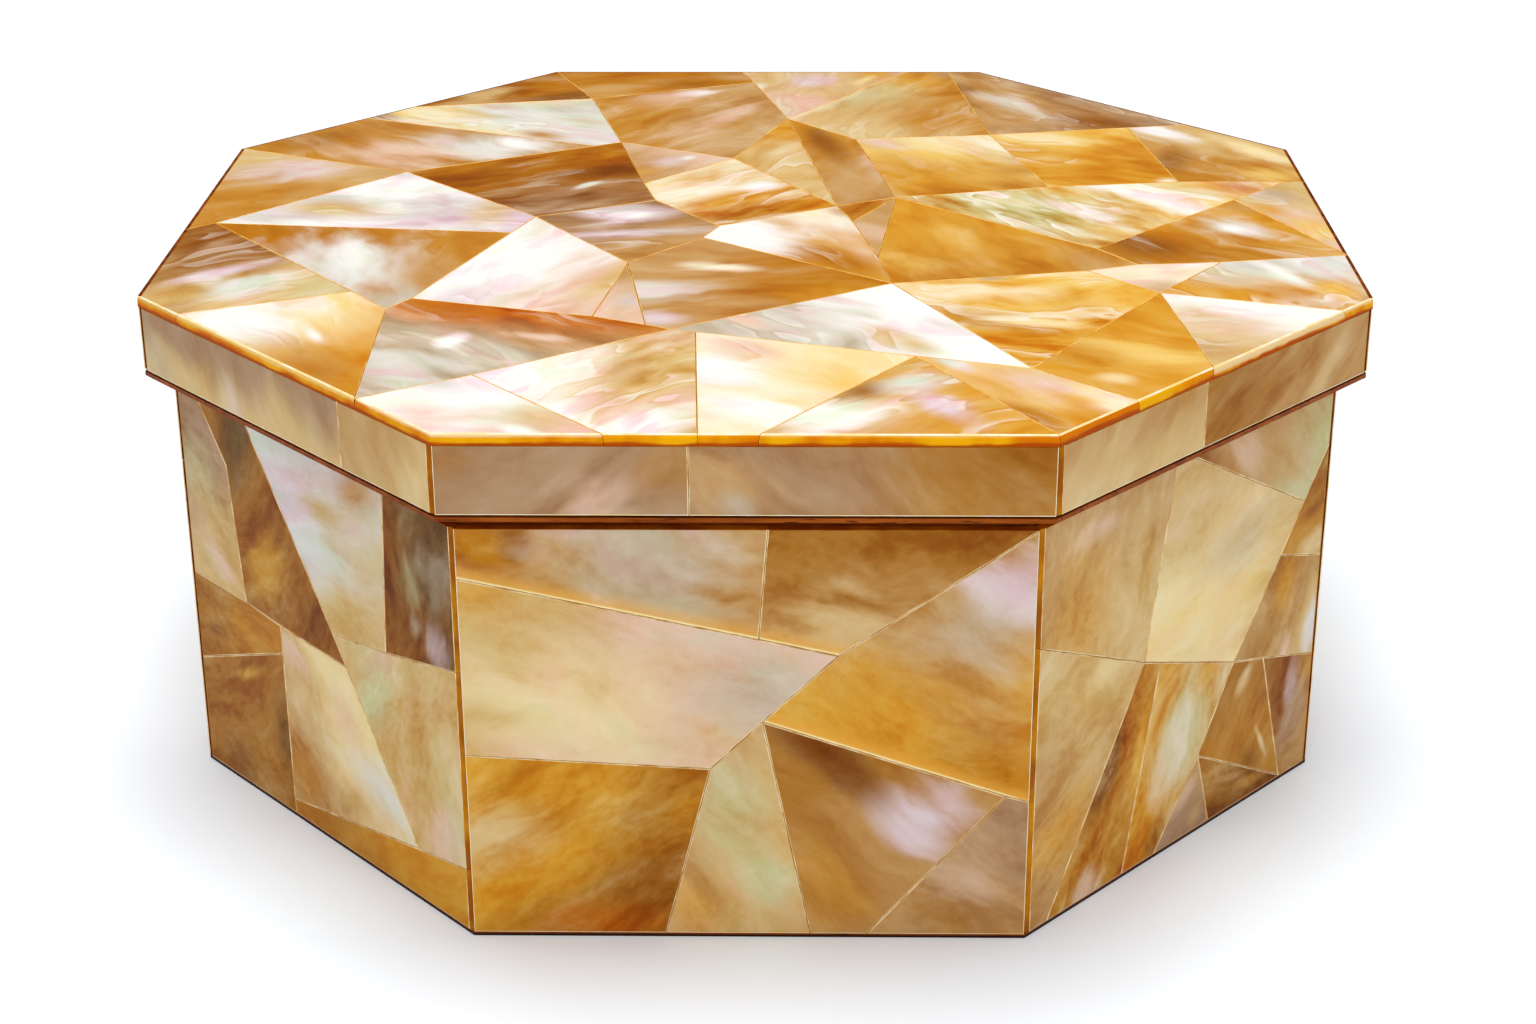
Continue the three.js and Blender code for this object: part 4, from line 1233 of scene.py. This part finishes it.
# %% Rim plates
RIM_MATERIALS = dict(BODY_MATERIALS, face=RIM_NACRE)
RIM_LOOKS = {
    "front": [
        look("mauve mauve", 30, 20, 0.3, 0.4, 0.0,
             puff("rose", .62, .25, .12, .7), puff("bronze", .95, .70, .14, .7),
             puff("bronze", .05, .80, .12, .5)),
        look("mauve bronze", 0, -35, 0.35, 0.2, 0.0,
             puff("tan", .08, .55, .12, .8), puff("grey", .14, .10, .05, .7),
             puff("brown", .86, .70, .10, .4)),
    ],
    "front_left": [
        look("mauve champagne", -90, -62, 0.3, 0.2, 0.0,
             puff("grey", .10, .25, .08, .5), puff("lilac", .50, .10, .06, .3)),
        look("tan champagne", 0, -50, 0.35, 0.1, 0.0, puff("cream", .85, .40, .16, .3)),
    ],
    "front_right": [
        look("tan champagne", -90, 60, 0.3, 0.3, 0.0,
             puff("champagne", .30, .40, .20, .7), puff("honey", .85, .80, .12, .3)),
        look("bronze tan", 0, 40, 0.4, 0.2, 0.0,
             puff("brown", .18, .60, .14, .5), puff("champagne", .72, .35, .08, .6, 3.)),
    ],
}
RIM_GAP = 0.04  # under the lid's plates, in mm
FIRST_RIM_PATTERN = 150
SIDE_ORDER = ["front", "front_right", "right", "back_right", "back", "back_left", "left", "front_left"]


def left_first(outline):
    return min(p.x for p in outline)


rim_node = nodes["lid_rim_mosaic"]
rim_planes = sorted(outward_planes(rim_node)[:len(SIDE_ORDER)], key=by_azimuth)
front_index = min(range(len(rim_planes)), key=lambda i: abs(by_azimuth(rim_planes[i]) + math.pi / 2))
rim_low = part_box("lid_rim_mosaic")[0].z / MM
rim_high = lid_bottom - RIM_GAP
for turn, face in enumerate(SIDE_ORDER):
    index = (front_index + turn) % len(rim_planes)
    plane = rim_planes[index]
    ends, leans = side_ends(rim_planes, index)
    for k, outline in enumerate(sorted(outlines_on(rim_node, *plane), key=left_first)):
        plate_look = RIM_LOOKS[face][k] if face in RIM_LOOKS else quiet_look(0.3)
        plate_look["seed"] = FIRST_RIM_PATTERN + 2 * turn + k
        fitted_outline, kinds, tilts = fitted(outline, ends, rim_low, rim_high, leans, slants(face))
        piece = plate_piece("shell_rim_%s_%d" % (face, k + 1), fitted_outline, kinds, SIDE_THICKNESS, tilts,
                            face_frame(*plane), plate_look, RIM_MATERIALS)
        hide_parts("lid_rim_mosaic")
print("rim plates on", len(SIDE_ORDER), "sides, from", round(rim_low, 1), "mm")

# %% [markdown]
# ## Wood
#
# The carcasses show only as thin lines: a reddish brown band under the body's plates, the lip under the rim
# and the neck in the shadow between them. Their nodes have the right shape already, so they stay, and get a
# stained and waxed wood with fine grain. The lowest half millimetre is painted nearly black, a painted
# contact shadow that draws the thin dark line where the box meets the floor.

# %% Wood material
def stained_wood():
    material = bpy.data.materials.new("stained_wood")
    r = ColourRecipe(material)
    place = r.tree.nodes.new("ShaderNodeTexCoord").outputs["Object"]
    rings = r.noise(r.vector("MULTIPLY", place, (1.0, 9.0, 9.0)), 60.0, 5.0, 0.6, 0.4)
    pores = r.noise(r.vector("MULTIPLY", place, (1.0, 14.0, 14.0)), 300.0, 2.0, 0.6)
    colour = r.mix(r.step(rings, 0.3, 0.7), linear(128, 54, 8), linear(168, 84, 18))
    colour = r.mix(r.step(pores, 0.58, 0.7), colour, linear(72, 28, 8))
    # painted contact shadow: the lowest half millimetre turns nearly black
    colour = r.mix(r.step(r.split(place)[2], 0.5 * MM, 0.2 * MM), colour, linear(44, 20, 8))
    r.put(r.shader.inputs["Base Color"], colour)
    r.put(r.shader.inputs["Roughness"], r.step(pores, 0.4, 0.7, 0.32, 0.55))
    r.put(r.shader.inputs["Normal"], r.bump(pores, 0.1 * MM, 0.4))
    r.shader.inputs["Specular IOR Level"].default_value = 0.06
    return material


WOOD = stained_wood()
for name in ("body_carcass", "lid_carcass"):
    for slot in nodes[name].material_slots:
        slot.material = WOOD
print("wood on the carcasses")

# %% [markdown]
# ## The floor
#
# The box stands on a plain white surface. Paint alone would turn grey away from the light and warm near the
# box, which throws its gold back at it. So the white is slightly cool, and the floor glows a little, like an
# acrylic sheet lit from below, which keeps it white right up to the short soft shadow.

# %% Floor
FLOOR_HALF = 4.0


def floor_sheet(half):
    mesh = bpy.data.meshes.new("floor")
    corners = [(-half, -half, 0), (half, -half, 0), (half, half, 0), (-half, half, 0)]
    mesh.from_pydata(corners, [], [(0, 1, 2, 3)])
    material = bpy.data.materials.new("white_acrylic")
    shader = Recipe(material).shader
    shader.inputs["Base Color"].default_value = (0.86, 0.92, 0.99, 1.0)
    shader.inputs["Roughness"].default_value = 0.8
    shader.inputs["Emission Color"].default_value = (1.0, 1.0, 1.0, 1.0)
    shader.inputs["Emission Strength"].default_value = 0.1
    mesh.materials.append(material)
    sheet = bpy.data.objects.new("floor", mesh)
    bpy.context.scene.collection.objects.link(sheet)
    return sheet


floor_sheet(FLOOR_HALF)
print("floor", 2 * FLOOR_HALF, "m wide")

# %% [markdown]
# ## The light
#
# A square softbox one metre wide, nearly two metres up, lights the lid and the floor and makes the shadow.
# A wider and weaker one in front lights the sides. Lamps alone would leave the lid with nothing but black to
# mirror, so there is a sky too. It is bright overhead and dim near the horizon, because the lid mirrors the
# part near the horizon, and a bright wall there would lay a grey veil over its deep ambers.

# %% Light
def soft_box(name, place, target, size, power):
    lamp = bpy.data.lights.new(name, "AREA")
    lamp.shape = "RECTANGLE"
    lamp.size, lamp.size_y = size
    lamp.energy = power
    holder = bpy.data.objects.new(name, lamp)
    holder.location = place
    holder.rotation_euler = (Vector(target) - Vector(place)).to_track_quat("-Z", "Y").to_euler()
    bpy.context.scene.collection.objects.link(holder)


def studio_sky(horizon, zenith):
    world = bpy.data.worlds.new("studio")
    bpy.context.scene.world = world
    world.use_nodes = True
    tree = world.node_tree
    height = tree.nodes.new("ShaderNodeSeparateXYZ")
    tree.links.new(tree.nodes.new("ShaderNodeTexCoord").outputs["Generated"], height.inputs[0])
    fade = tree.nodes.new("ShaderNodeMapRange")
    fade.interpolation_type = "SMOOTHSTEP"
    for name, value in (("From Min", 0.45), ("From Max", 0.95), ("To Min", horizon), ("To Max", zenith)):
        fade.inputs[name].default_value = value
    tree.links.new(height.outputs["Z"], fade.inputs["Value"])
    tree.nodes["Background"].inputs["Color"].default_value = (1.0, 1.0, 1.0, 1.0)
    tree.links.new(fade.outputs[0], tree.nodes["Background"].inputs["Strength"])


soft_box("softbox_above", place=(-0.05, 0.2, 1.9), target=(0, 0.05, 0.05), size=(1.0, 1.0), power=26.7)
soft_box("softbox_front", place=(0.15, -1.5, 0.75), target=(0, 0, 0.03), size=(2.4, 0.9), power=10.5)
studio_sky(horizon=0.06, zenith=0.68)
bpy.context.scene.view_settings.view_transform = "Standard"

# %% [markdown]
# ## The end
#
